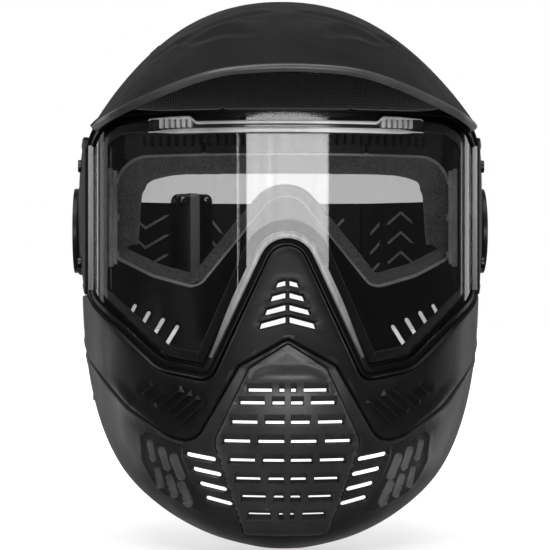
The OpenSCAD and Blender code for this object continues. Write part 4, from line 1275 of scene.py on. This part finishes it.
def visor_relief(points):
    """Two sculpted scoops with a crease above each, seen from the front."""
    flat = points.reshape(-1, 3)
    x, z = -np.abs(flat[:, 0]), flat[:, 2]
    inside = within(SCOOP, x, z)
    edge = to_path(x, z, SCOOP)
    crease = to_path(x, z, SCOOP_TAIL, closed=False)
    height = 0.35 * ridge(edge, 0.4, 0.7) * ~inside - 1.5 * smooth(edge / 4.5) * inside
    height += 0.4 * ridge(crease, 1.9, 1.1) - 0.55 * ridge(crease, 0, 0.9)
    return height.reshape(points.shape[:2])


even = np.linspace(-1, 1, VISOR_ACROSS)
ts = VISOR_END * (0.5 * np.sin(even * math.pi / 2) + 0.5 * even)
ss = np.linspace(0, 1, VISOR_ALONG) ** 1.15
T, S = np.meshgrid(ts, ss, indexing="ij")
shell = visor(T, S)
normal = surface_normal(visor, T, np.clip(S, 0.002, 0.998))
if normal[VISOR_ACROSS // 2, VISOR_ALONG // 2, 2] < 0:
    normal = -normal
fade = smooth((S - 0.03) / 0.08) * smooth((1 - S) / 0.06)
outer = shell + normal * (visor_relief(shell) * fade)[..., None]
inner = shell - normal * VISOR_T
forward = unit(shell[:, 0] - shell[:, 2])
lip_mid = shell[:, 0] - normal[:, 0] * (VISOR_T / 2 + 0.1)
rear = (outer[:, -1] + inner[:, -1]) / 2 + unit(outer[:, -1] - outer[:, -3]) * 0.9
rings = []
for i in range(VISOR_ACROSS):
    bead = [lip_mid[i] + (normal[i, 0] * math.cos(a) + forward[i] * math.sin(a)) * VISOR_LIP_R
            for a in np.radians(np.linspace(-12, 192, 13))]
    rings.append(list(outer[i, :2:-1]) + bead + list(inner[i, 3:]) + [rear[i]])
rings = np.array(rings)

# The lens frame's corner passes through the ends of the visor, so these stand clear of it
off = np.stack([np.abs(rings[..., 0]) - LENS_HALF_W, rings[..., 2] - LENS_TOP], -1) + LENS_CORNER_R
far = np.linalg.norm(off, axis=-1)
beside_frame = (rings[..., 1] > CORNER_FRONT) & (rings[..., 1] < CORNER_BACK) & (off > 0).all(-1)
push = np.where(beside_frame & (far < CLEAR_R), CLEAR_R / np.maximum(far, 1), 1)[..., None] - 1
off = push * np.maximum(off, 0)
rings[..., 0] += np.sign(rings[..., 0]) * off[..., 0]
rings[..., 2] += off[..., 1]
shape = loft(rings)
# The faces of the bead along the lip are painted paler, as a painted highlight
bead_from = VISOR_ALONG - 3
paint = np.zeros(len(shape[1]), int)
for i, face in enumerate(shape[1]):
    along = [k % rings.shape[1] for k in face]
    paint[i] = len(face) == 4 and min(along) >= bead_from and max(along) <= bead_from + 12
make("visor_skin", shape, [visor_plastic, visor_lip_painted_highlight], replaces=["visor"], slot="visor_plastic",
     sharp=60, paint=paint)

# The brow shell, the pad behind it and the pad in front of the frame


def brow(t, s):
    """The brow shell's outer face: t runs from side to side, s from the frame to under the rear rim."""
    t, s = np.broadcast_arrays(np.asarray(t, float), np.asarray(s, float))
    x = 76 * np.sign(t) * np.abs(np.sin(t)) ** 0.9
    a = np.stack([x, lens_y(x) + 3, np.full_like(x, LENS_TOP + RIM_W + 3.2)], -1)
    r = visor_rim(t)
    out = np.stack([0.8 * np.sin(t), 0 * t, np.cos(t)], -1) * (VISOR_T + 3.2)
    b = np.stack([r[..., 0] * 0.965, r[..., 1] - 2, r[..., 2]], -1) - out
    b[..., 2] += 4.5 * np.abs(np.sin(t))
    up = np.stack([0.7 * np.sin(t), np.full_like(t, -0.4), np.cos(t)], -1) * 10 * np.cos(t)[..., None]
    return cubic(a, b, a + (b - a) * 0.33 + up, a + (b - a) * 0.7 + up * 0.7, s)


def grid_solid(place, a_range, b_range, low, high, counts, puff=None):
    """A closed sheet over a grid of a surface, between two heights off it; puff swells its far side."""
    A, B = np.meshgrid(np.linspace(*a_range, counts[0]), np.linspace(*b_range, counts[1]), indexing="ij")
    base = place(A, B)
    up = surface_normal(place, A, B)
    if up[counts[0] // 2, counts[1] // 2, 2] < 0:
        up = -up
    swell = puff(A, B)[..., None] if puff else 1.0
    far = base + up * (low + (high - low) * swell)
    return loft(np.concatenate([base + up * low, far[:, ::-1]], 1))


def pad_puff(A, B):
    """A sewn pad, crowned between its edges and drawn in along two seams."""
    a = (A / math.radians(36) + 1) / 2
    b = (B - 0.2) / 0.8
    edge = np.minimum(np.minimum(a, 1 - a) * 7, np.minimum(b, 1 - b) * 3.4)
    crown = np.sqrt(np.clip(1 - (1 - np.clip(edge, 0, 1)) ** 2, 0, 1))
    seams = ridge(a, 0.34, 0.012) + ridge(a, 0.66, 0.012)
    return 0.12 + 0.88 * crown * (1 - 0.3 * seams)


BROW_END = math.radians(80)
PAD_END = math.radians(35.5)
shape = grid_solid(brow, (-BROW_END, BROW_END), (0, 1), 0, -2.2, (60, 26))
make("brow_skin", shape, frame_plastic, replaces=["brow_shell"], slot="face_plastic", sharp=50)
shape = grid_solid(brow, (-PAD_END, PAD_END), (0.2, 1.0), -2.8, -12.8, (110, 44), pad_puff)
forehead = make("forehead_cushion", shape, pad_weave, replaces=["forehead_pad"], slot="pad_cloth", sharp=70)

ROLL_HALF_W = 71.0
ROLL_MID = LENS_TOP + 8.9
rings = []
for x in np.linspace(-ROLL_HALF_W, ROLL_HALF_W, 110):
    k = 0.35 + 0.65 * math.sqrt(max(0, 1 - (abs(x) / (ROLL_HALF_W + 0.5)) ** 8))
    tuck = k * (1 - 0.08 * ridge(abs(x), 28, 1.2))
    section = [(8.2 * tuck * math.cos(a), 2.4 + 3.2 * tuck * math.sin(a) - 1.6 * max(0, math.cos(a)))
               for a in around(32, back=True)]
    rings.append([on_lens(x, ROLL_MID + z, v) for z, v in section])
brow_roll = make("brow_roll", loft(rings), pad_weave, replaces=["brow_pad"], slot="pad_cloth", sharp=70)

# The bar across the lens, with a vent housing at each end and a ridge along both edges that is painted near
# white as a highlight

BAR_HALF_W = 61.0
BAR_LOW = LENS_TOP - 9
BAR_VALLEY = 1.7
RIDGE_HALF_W = BAR_HALF_W - 1.5


def bar_height(x):
    """The bar is low in the middle and taller at its two vent housings."""
    return 4.8 + 2.4 * float(smooth((abs(x) - 38.5) / 3.5)) - 1.6 * float(smooth((abs(x) - 58.5) / 2.5))


rings = []
for x in np.linspace(-BAR_HALF_W, BAR_HALF_W, 160):
    h = bar_height(x)
    end = 0.45 + 0.55 * float(smooth((BAR_HALF_W - abs(x)) / 2.5))
    foot = [(0, 0.1), (1.6, 0.05), (2.7, 0.35), (3.1, 0.9), (2.7, 1.5), (BAR_VALLEY, 1.9)]
    section = foot + [(v, h - z) for v, z in reversed(foot)]
    rings.append([on_lens(x, BAR_LOW + z, FIT + v * end) for v, z in section])
make("brow_bar", loft(rings), bar_plastic, replaces=["top_bar"], slot="bar_plastic", sharp=50)
for name, middle, thick in (("bar_ridge_low", lambda x: 0.6, 1.1),
                            ("bar_ridge_high", lambda x: bar_height(x) - 0.75, 0.75)):
    rings = []
    for x in np.linspace(-RIDGE_HALF_W, RIDGE_HALF_W, 150):
        mid = BAR_LOW + middle(x)
        r = thick * (0.25 + 0.75 * float(smooth((RIDGE_HALF_W - abs(x)) / 12)))
        rings.append([on_lens(x, mid + r * math.cos(a), FIT + 3.0 + 0.55 * math.sin(a))
                      for a in around(10, back=True)])
    make(name, loft(rings), bar_ridge_painted_highlight, slot="bar_plastic", sharp=60)

# The vent ribs below are painted near white as a highlight
GRID_FROM = 41.2
GRID_PITCH = 2.45
for s, side_name in SIDES:
    ribs = []
    for x0 in GRID_FROM + GRID_PITCH * np.arange(6):
        rib = []
        for x, inset in ((x0, 0.15), (x0 + 0.25, 0), (x0 + 1.15, 0), (x0 + 1.4, 0.15)):
            section = [(1.5, 1.9 + inset), (3.3 - inset, 2.1 + inset), (3.5 - inset, 4.1),
                       (3.3 - inset, 6.1 - inset), (1.5, 6.3 - inset)]
            rib.append([on_lens(s * x, BAR_LOW + z, FIT + v) for v, z in section])
        ribs.append(loft(rib))
    make("vent_ribs_" + side_name, joined(ribs), grid_plastic, replaces=["vent_grid_" + side_name],
         slot="grid_plastic", sharp=40)

# The side pods

POD_R = 136.0
POD_PLAN_R = 204.0
POD_MID = 8.0
POD_EDGE = rounded([(-56, SIDE_Z + FIT, 6), (20, SIDE_Z + FIT, 14), (32, -4, 14), (24, LENS_TOP - 17, 14),
                    (-6, LENS_TOP - 6.5, 14), (-56, LENS_TOP - 6.5, 8)], 7)
DISC_D = 42.0
PIN_D = 6.0


def pod_x(y, z):
    """How far out a pod's face is: it curves both in height and in plan."""
    by_height = np.sqrt(POD_R ** 2 - (z - POD_MID) ** 2) - POD_R
    by_plan = np.sqrt(POD_PLAN_R ** 2 - (y + 4) ** 2) - POD_PLAN_R
    blend = 0.6
    low = -blend * np.log(np.exp(-by_height / blend) + np.exp(-by_plan / blend))
    return POD_HALF_W + np.minimum(low + 0.25, 0)


def pod_relief(y, z):
    """A sunk face inside a border, and the flat boss under the disc."""
    d = to_path(y, z, POD_EDGE)
    r = np.hypot(y, z)
    border = -0.6 * smooth((d - 4.5) / 1.2) * smooth((d - 3.5) / 2)
    boss = (POD_HALF_W - pod_x(y, z)) * smooth((DISC_D / 2 + 1.6 - r) / 1.6)
    return border * smooth((r - DISC_D / 2 - 2) / 2) + boss


SCREW_AT = [(-36.0, SIDE_Z + 16), (-36.0, LENS_TOP - 20)]


def side_sheets(name, material, sunk, edge, more_lines, screw, pin_r, step, thick, replaced=None, **kinds):
    """A sheet at each side, sunk below the face of the pods, with holes for the screws and the pin."""
    screw_r, screw_steps = screw
    lines = [(edge, True)] + more_lines + [(circle(y, z, screw_r, screw_steps), True) for y, z in SCREW_AT]

    def inside(y, z):
        hit = within(edge, y, z) & (np.hypot(y, z) > pin_r)
        for screw_y, screw_z in SCREW_AT:
            hit &= np.hypot(y - screw_y, z - screw_z) > screw_r - 0.02
        return hit

    for s, side_name in SIDES:
        def place(y, z):
            return np.stack([s * (pod_x(y, z) - sunk), y, z], -1)

        shape, _ = panel(place, lines, inside, step, thick, flip=s < 0, **kinds)
        make(name + side_name, shape, material, replaces=[replaced + side_name] if replaced else (),
             slot="frame_plastic")


pin_lines = [(circle(0, 0, PIN_D / 2), True), (circle(0, 0, DISC_D / 2, 90), True)]
side_sheets("pod_", pod_plastic, 0, POD_EDGE, pin_lines, (3.3, 30), PIN_D / 2, 2.2, 3.0, "side_pod_",
            relief=pod_relief, edge_r=1.1, fine=1.2)

# The walls of the frame behind the pods, which the pod screws go into
WALL_IN = 3.9
WALL_EDGE = rounded([(-62.6, SIDE_Z - 3, 2), (-26, SIDE_Z - 3, 6), (-26, LENS_TOP - 8, 8),
                     (-62.6, LENS_TOP - 8, 2)], 5)
side_sheets("frame_side_", frame_plastic, WALL_IN, WALL_EDGE, [], (1.8, 20), 0, 3.0, 2.0, edge_r=0.5)

# The rear band: two halves with grooved chevrons, and the slider on the overlap

BAND_Y = 46.0
BAND_BACK = 104.0
BAND_LOW = -24.5
BAND_H = 41.3
BAND_START = 16.0
ARM_END = 44.0
RIVET_AT = ARM_END - 7 - BAND_START
RIVET_ROWS = (-13, 5)


def band_curve(t):
    """The band's line in plan, a half ellipse behind the head."""
    return np.stack([BAND_W * np.sin(t), BAND_Y + (BAND_BACK - BAND_Y) * np.cos(t)], -1)


def band_table(t0, t1, step_from):
    """The band's line in plan as x, y and the outward step over the overlap, and the distance along it."""
    t = np.radians(np.linspace(t0, t1, 300))
    step = (BAND_T + FIT) * np.clip((step_from - np.degrees(t)) / 8, 0, 1)
    line = np.column_stack([band_curve(t), step])
    if t0 <= -90:
        line = np.concatenate([[(-BAND_W, BAND_START, 0)], line])
    if t1 >= 90:
        line = np.concatenate([line, [(BAND_W, BAND_START, 0)]])
    line = resampled(line, 1.0, closed=False)
    along = np.concatenate([[0], np.cumsum(np.linalg.norm(np.diff(line[:, :2], axis=0), axis=1))])
    return along, line


def chevron_rows(arms, pitch):
    """The grooves of one column of chevrons, in three rows one below the other."""
    return [((a[0], a[1] - pitch * i), (b[0], b[1] - pitch * i)) for i in range(3) for a, b in arms]


def band_half(name, node, t0, t1, step_from, marks):
    along, line = band_table(t0, t1, step_from)
    behind = line[:, 1] > BAND_Y - 4
    order = np.argsort(line[behind, 0])

    def place(u, v):
        x, y, step = columns_at(u, along, line)
        ahead, before = columns_at(u + 1.5, along, line), columns_at(u - 1.5, along, line)
        tangent = unit(np.stack([ahead[k] - before[k] for k in range(2)], -1))
        return np.stack([x - tangent[:, 1] * step, y + tangent[:, 0] * step, v], -1)

    def to_band(path):
        path = np.array(path, float)
        u = np.interp(path[:, 0], line[behind, 0][order], along[behind][order])
        return np.stack([u, path[:, 1]], 1)

    end = along[-1]
    high = BAND_LOW + BAND_H
    edge = rounded([(0, BAND_LOW, 4), (end, BAND_LOW, 4), (end, high, 4), (0, high, 4)], 5)
    arms = [to_band(arm) for arm in marks]
    holes = [circle(RIVET_AT if t0 <= -90 else end - RIVET_AT, z, 1.55, 20) for z in RIVET_ROWS]

    def inside(u, v):
        return within(edge, u, v) & clear_of(holes, u, v)

    def relief(u, v):
        height = 0.35 * ridge(to_path(u, v, edge), 1.9, 0.9)
        for arm in arms:
            height -= 0.9 * trough(to_segment(u, v, *arm), 0.6, 0.7)
        return height

    lines = [(h, True) for h in [edge] + holes] + [(resampled(arm, 0.8, False), False) for arm in arms]
    shape, (u, v, tris) = panel(place, lines, inside, 3.0, BAND_T, relief, edge_r=0.7, fine=1.3, flip=True)
    middle = np.stack([u[tris].mean(1), v[tris].mean(1)])
    # The faces beside each groove are painted paler, as a painted highlight
    paint = np.zeros(len(shape[1]), int)
    for arm in arms:
        near = to_segment(*middle, *arm) < 1.0
        paint[:len(tris)] |= near
        paint[len(tris):2 * len(tris)] |= near
    make(name, shape, [band_plastic, chevron_painted_highlight], body="head_guard", replaces=[node], slot="band_plastic",
         paint=paint)


left_marks = chevron_rows([((-71.3, 3), (-60.4, 9.5)), ((-71.3, 3), (-75.8, 7.5))], 10.5)
left_marks += chevron_rows([((-34.9, 7.4), (-30, 1.4)), ((-24, 1.4), (-19, 7.4))], 11)
left_marks += chevron_rows([((12, 7.4), (17, 1.4)), ((33.2, 3.0), (38.2, 8.4))], 11)
right_marks = chevron_rows([((68.8, 11.6), (62, 5.6)), ((68.8, 11.6), (74, 6.6))], 10.6)
right_marks += chevron_rows([((52.0, 0), (57.2, 5.4))], 10.6)
band_half("band_left", "rear_band_left", -90, 32, -200, left_marks)
band_half("band_right", "rear_band_right", 22, 90, 44, right_marks)

# The slider: a flat loop round both halves, rounded at its upper corners, with two studs

SLIDER_TURN = math.radians(22)
SLIDER_MID = np.array([-45.6, 94.4])
SLIDER_HALF_W = 10.5
SLIDER_TOP = 21.8
SLIDER_BOTTOM = -29.5
SLIDER_IN = 3.5
SLIDER_OUT = 1.5
SLIDER_WALL = 2.4
SLIDER_ROUND = 3.5
STUD_Z = 18.4
STUD_ASIDE = 6.8


def by_slider(across, behind, z):
    """A point given across the slider, behind its middle, and up."""
    c, s = math.cos(SLIDER_TURN), math.sin(SLIDER_TURN)
    return (SLIDER_MID[0] + c * across - s * behind, SLIDER_MID[1] + s * across + c * behind, z)


LOOP_STEPS = [6, 16, 6, 16]
LOOP_SECTION = [(-1, 0.3, 0), (-1, 0.7, 0), (-0.93, 1, 0), (-0.3, 1, 0), (-0.25, 1, 0.45), (0.25, 1, 0.45),
                (0.3, 1, 0), (0.93, 1, 0), (1, 0.7, 0), (1, 0.3, 0), (0.93, 0, 0), (-0.93, 0, 0)]


def loop_line(wall, low, high, r):
    """An outline of the slider's loop, seen along the band."""
    corners = [(SLIDER_OUT + wall, low, r), (SLIDER_OUT + wall, high, r), (-SLIDER_IN - wall, high, r),
               (-SLIDER_IN - wall, low, r)]
    return stepped(corners, 6, LOOP_STEPS)


rings = []
for a, b in zip(loop_line(0, BAND_LOW - 0.5, BAND_LOW + BAND_H + 0.5, 1),
                loop_line(SLIDER_WALL, SLIDER_BOTTOM, SLIDER_TOP, 2.5)):
    over = np.clip((max(a[1], b[1]) - SLIDER_TOP) / SLIDER_ROUND + 1, 0, 1)
    half = SLIDER_HALF_W - 3.0 * (1 - math.sqrt(1 - 0.98 * over ** 2))
    out = unit(b - a)
    rings.append([by_slider(half * across, *(a + (b - a) * f + out * extra))
                  for across, f, extra in LOOP_SECTION])
shape = loft(rings, closed=True)
# The raised rib of the loop is painted paler, as a painted highlight
paint = [int({k % len(LOOP_SECTION) for k in face} <= {4, 5}) for face in shape[1]]
make("slider_loop", shape, [slider_plastic, slider_stripe_painted_highlight], body="band_slider", replaces=["band_slider"],
     slot="band_plastic", sharp=40, paint=paint)
studs = []
for across in (-STUD_ASIDE, STUD_ASIDE):
    dome = []
    for r, out in ((1.7, 0.0), (1.7, 0.6), (1.45, 1.0), (0.9, 1.2), (0.15, 1.25)):
        behind = -SLIDER_IN - SLIDER_WALL - out
        dome.append([by_slider(y, behind, z) for y, z in circle(across, STUD_Z, r, 24)])
    studs.append(loft(dome))
make("slider_studs", joined(studs), steel, body="band_slider", replaces=["slider_rivets"], slot="steel",
     sharp=40)

# Camera, as the photograph was taken: level, from a little to the left

CAMERA_FAR = 1.1
CAMERA_TURN = math.radians(-1.5)
AIM_Z = -0.022
CAMERA_ASIDE = 4.5 / 550
camera = bpy.data.objects.new("camera", bpy.data.cameras.new("camera"))
bpy.context.scene.collection.objects.link(camera)
camera.location = (CAMERA_FAR * math.sin(CAMERA_TURN), -CAMERA_FAR * math.cos(CAMERA_TURN), AIM_Z)
camera.rotation_euler = (math.pi / 2, 0, CAMERA_TURN)
camera.data.lens = 144
camera.data.sensor_width = 36
camera.data.shift_x = -CAMERA_ASIDE
bpy.context.scene.camera = camera
bpy.context.scene.view_settings.view_transform = "Standard"

# Floor and world: both are pale where they are seen, and give less light than that

FLOOR_GAP = 0.0006
bpy.ops.mesh.primitive_plane_add(size=8, location=(0, 0, cad_box[0].z - FLOOR_GAP))
floor = bpy.context.object
floor.name = "floor"
floor_material, tree, shader = blank("pale_floor")
distance = added(tree, "VectorMath")
distance.operation = "LENGTH"
tree.links.new(own_place(tree), distance.inputs[0])
path = added(tree, "LightPath")
seen = combined(tree, "MAXIMUM", path.outputs["Is Camera Ray"], path.outputs["Is Glossy Ray"])
seen = combined(tree, "MAXIMUM", seen, path.outputs["Is Transmission Ray"])
fading = ramp(tree, distance.outputs["Value"], 0.12, 0.5, 0.62, 1.0)
connect(tree, shader, Base_Color=mix_colour(tree, noise(tree, 6, 4), neutral(0.80), neutral(0.84)),
        Emission_Strength=combined(tree, "MULTIPLY", seen, fading))
sockets(shader, Roughness=0.9, Specular_IOR_Level=0.1, Emission_Color=neutral(1))
floor.data.materials.append(floor_material)
floor.visible_glossy = False
floor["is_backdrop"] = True

world = bpy.data.worlds.new("studio")
bpy.context.scene.world = world
world.use_nodes = True
tree = world.node_tree
tree.nodes.clear()
out = added(tree, "OutputWorld")
ambient = added(tree, "Background", Color=neutral(0.42))
bright = added(tree, "Background", Color=neutral(1))
direction = added(tree, "SeparateXYZ")
connect(tree, direction, Vector=added(tree, "TexCoord").outputs["Generated"])
path = added(tree, "LightPath")
mirrored_ray = path.outputs["Is Glossy Ray"]
direct = combined(tree, "MAXIMUM", path.outputs["Is Camera Ray"], path.outputs["Is Transmission Ray"])
behind = ramp(tree, direction.outputs["Y"], 0.6, 0.8, 0.03, 0.3)
mirrored_back = combined(tree, "MULTIPLY", mirrored_ray, behind)
connect(tree, bright, Strength=combined(tree, "ADD", direct, mirrored_back))
blend(tree, combined(tree, "MAXIMUM", direct, mirrored_ray), ambient, bright, out)


def softbox(name, place, aim, size, radiance):
    """A soft rectangular lamp of that radiance, turned towards aim."""
    lamp = bpy.data.lights.new(name, "AREA")
    lamp.shape = "RECTANGLE"
    lamp.size, lamp.size_y = size
    lamp.energy = radiance * math.pi * size[0] * size[1]
    holder = bpy.data.objects.new(name, lamp)
    bpy.context.scene.collection.objects.link(holder)
    holder.location = place
    holder.rotation_euler = (Vector(aim) - Vector(place)).to_track_quat("-Z", "Y").to_euler()
    return holder


FRONT_Y = -1.73
FRONT_Z = -0.09
FRONT_H = 0.515


def front_lamp(name, x, width, radiance):
    """A lamp square to the front, as high as the block that the lens mirrors."""
    return softbox(name, (x, FRONT_Y, FRONT_Z), (x, 0, FRONT_Z), (width, FRONT_H), radiance)


# Mirrored only: the box and the fine line on the lens, a box up on the left that draws the edges, and
# strips for the ends of the lens
front_lamp("mirrored_box", 0.066, 1.108, 5.6).visible_diffuse = False
front_lamp("mirrored_strip", -0.647, 0.018, 5.0).visible_diffuse = False
for name, place, size, radiance in (("edge_box", (-0.5, -0.8, 0.9), (0.5, 0.4), 7.0),
                                    ("left_strip", (-1.77, 1.72, 0), (0.30, 2.2), 2.0),
                                    ("left_glow", (-2.02, 1.45, 0), (0.20, 2.2), 0.8),
                                    ("right_strip", (1.80, 1.69, 0), (0.42, 2.2), 1.6)):
    softbox(name, place, (0, 0, 0), size, radiance).visible_diffuse = False

# Not mirrored: the light from the front and the sides
front_lamp("front_box", 0.035, 1.02, 3.6).visible_glossy = False
for name, x, radiance in (("left_box", -1.3, 0.6), ("right_box", 1.3, 0.5)):
    softbox(name, (x, -0.7, 0.35), (0, 0, 0), (0.5, 1.2), radiance).visible_glossy = False
softbox("top_box", (0, -0.45, 1.3), (0, -0.05, 0), (1.5, 1.0), 2.2)

low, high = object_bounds()
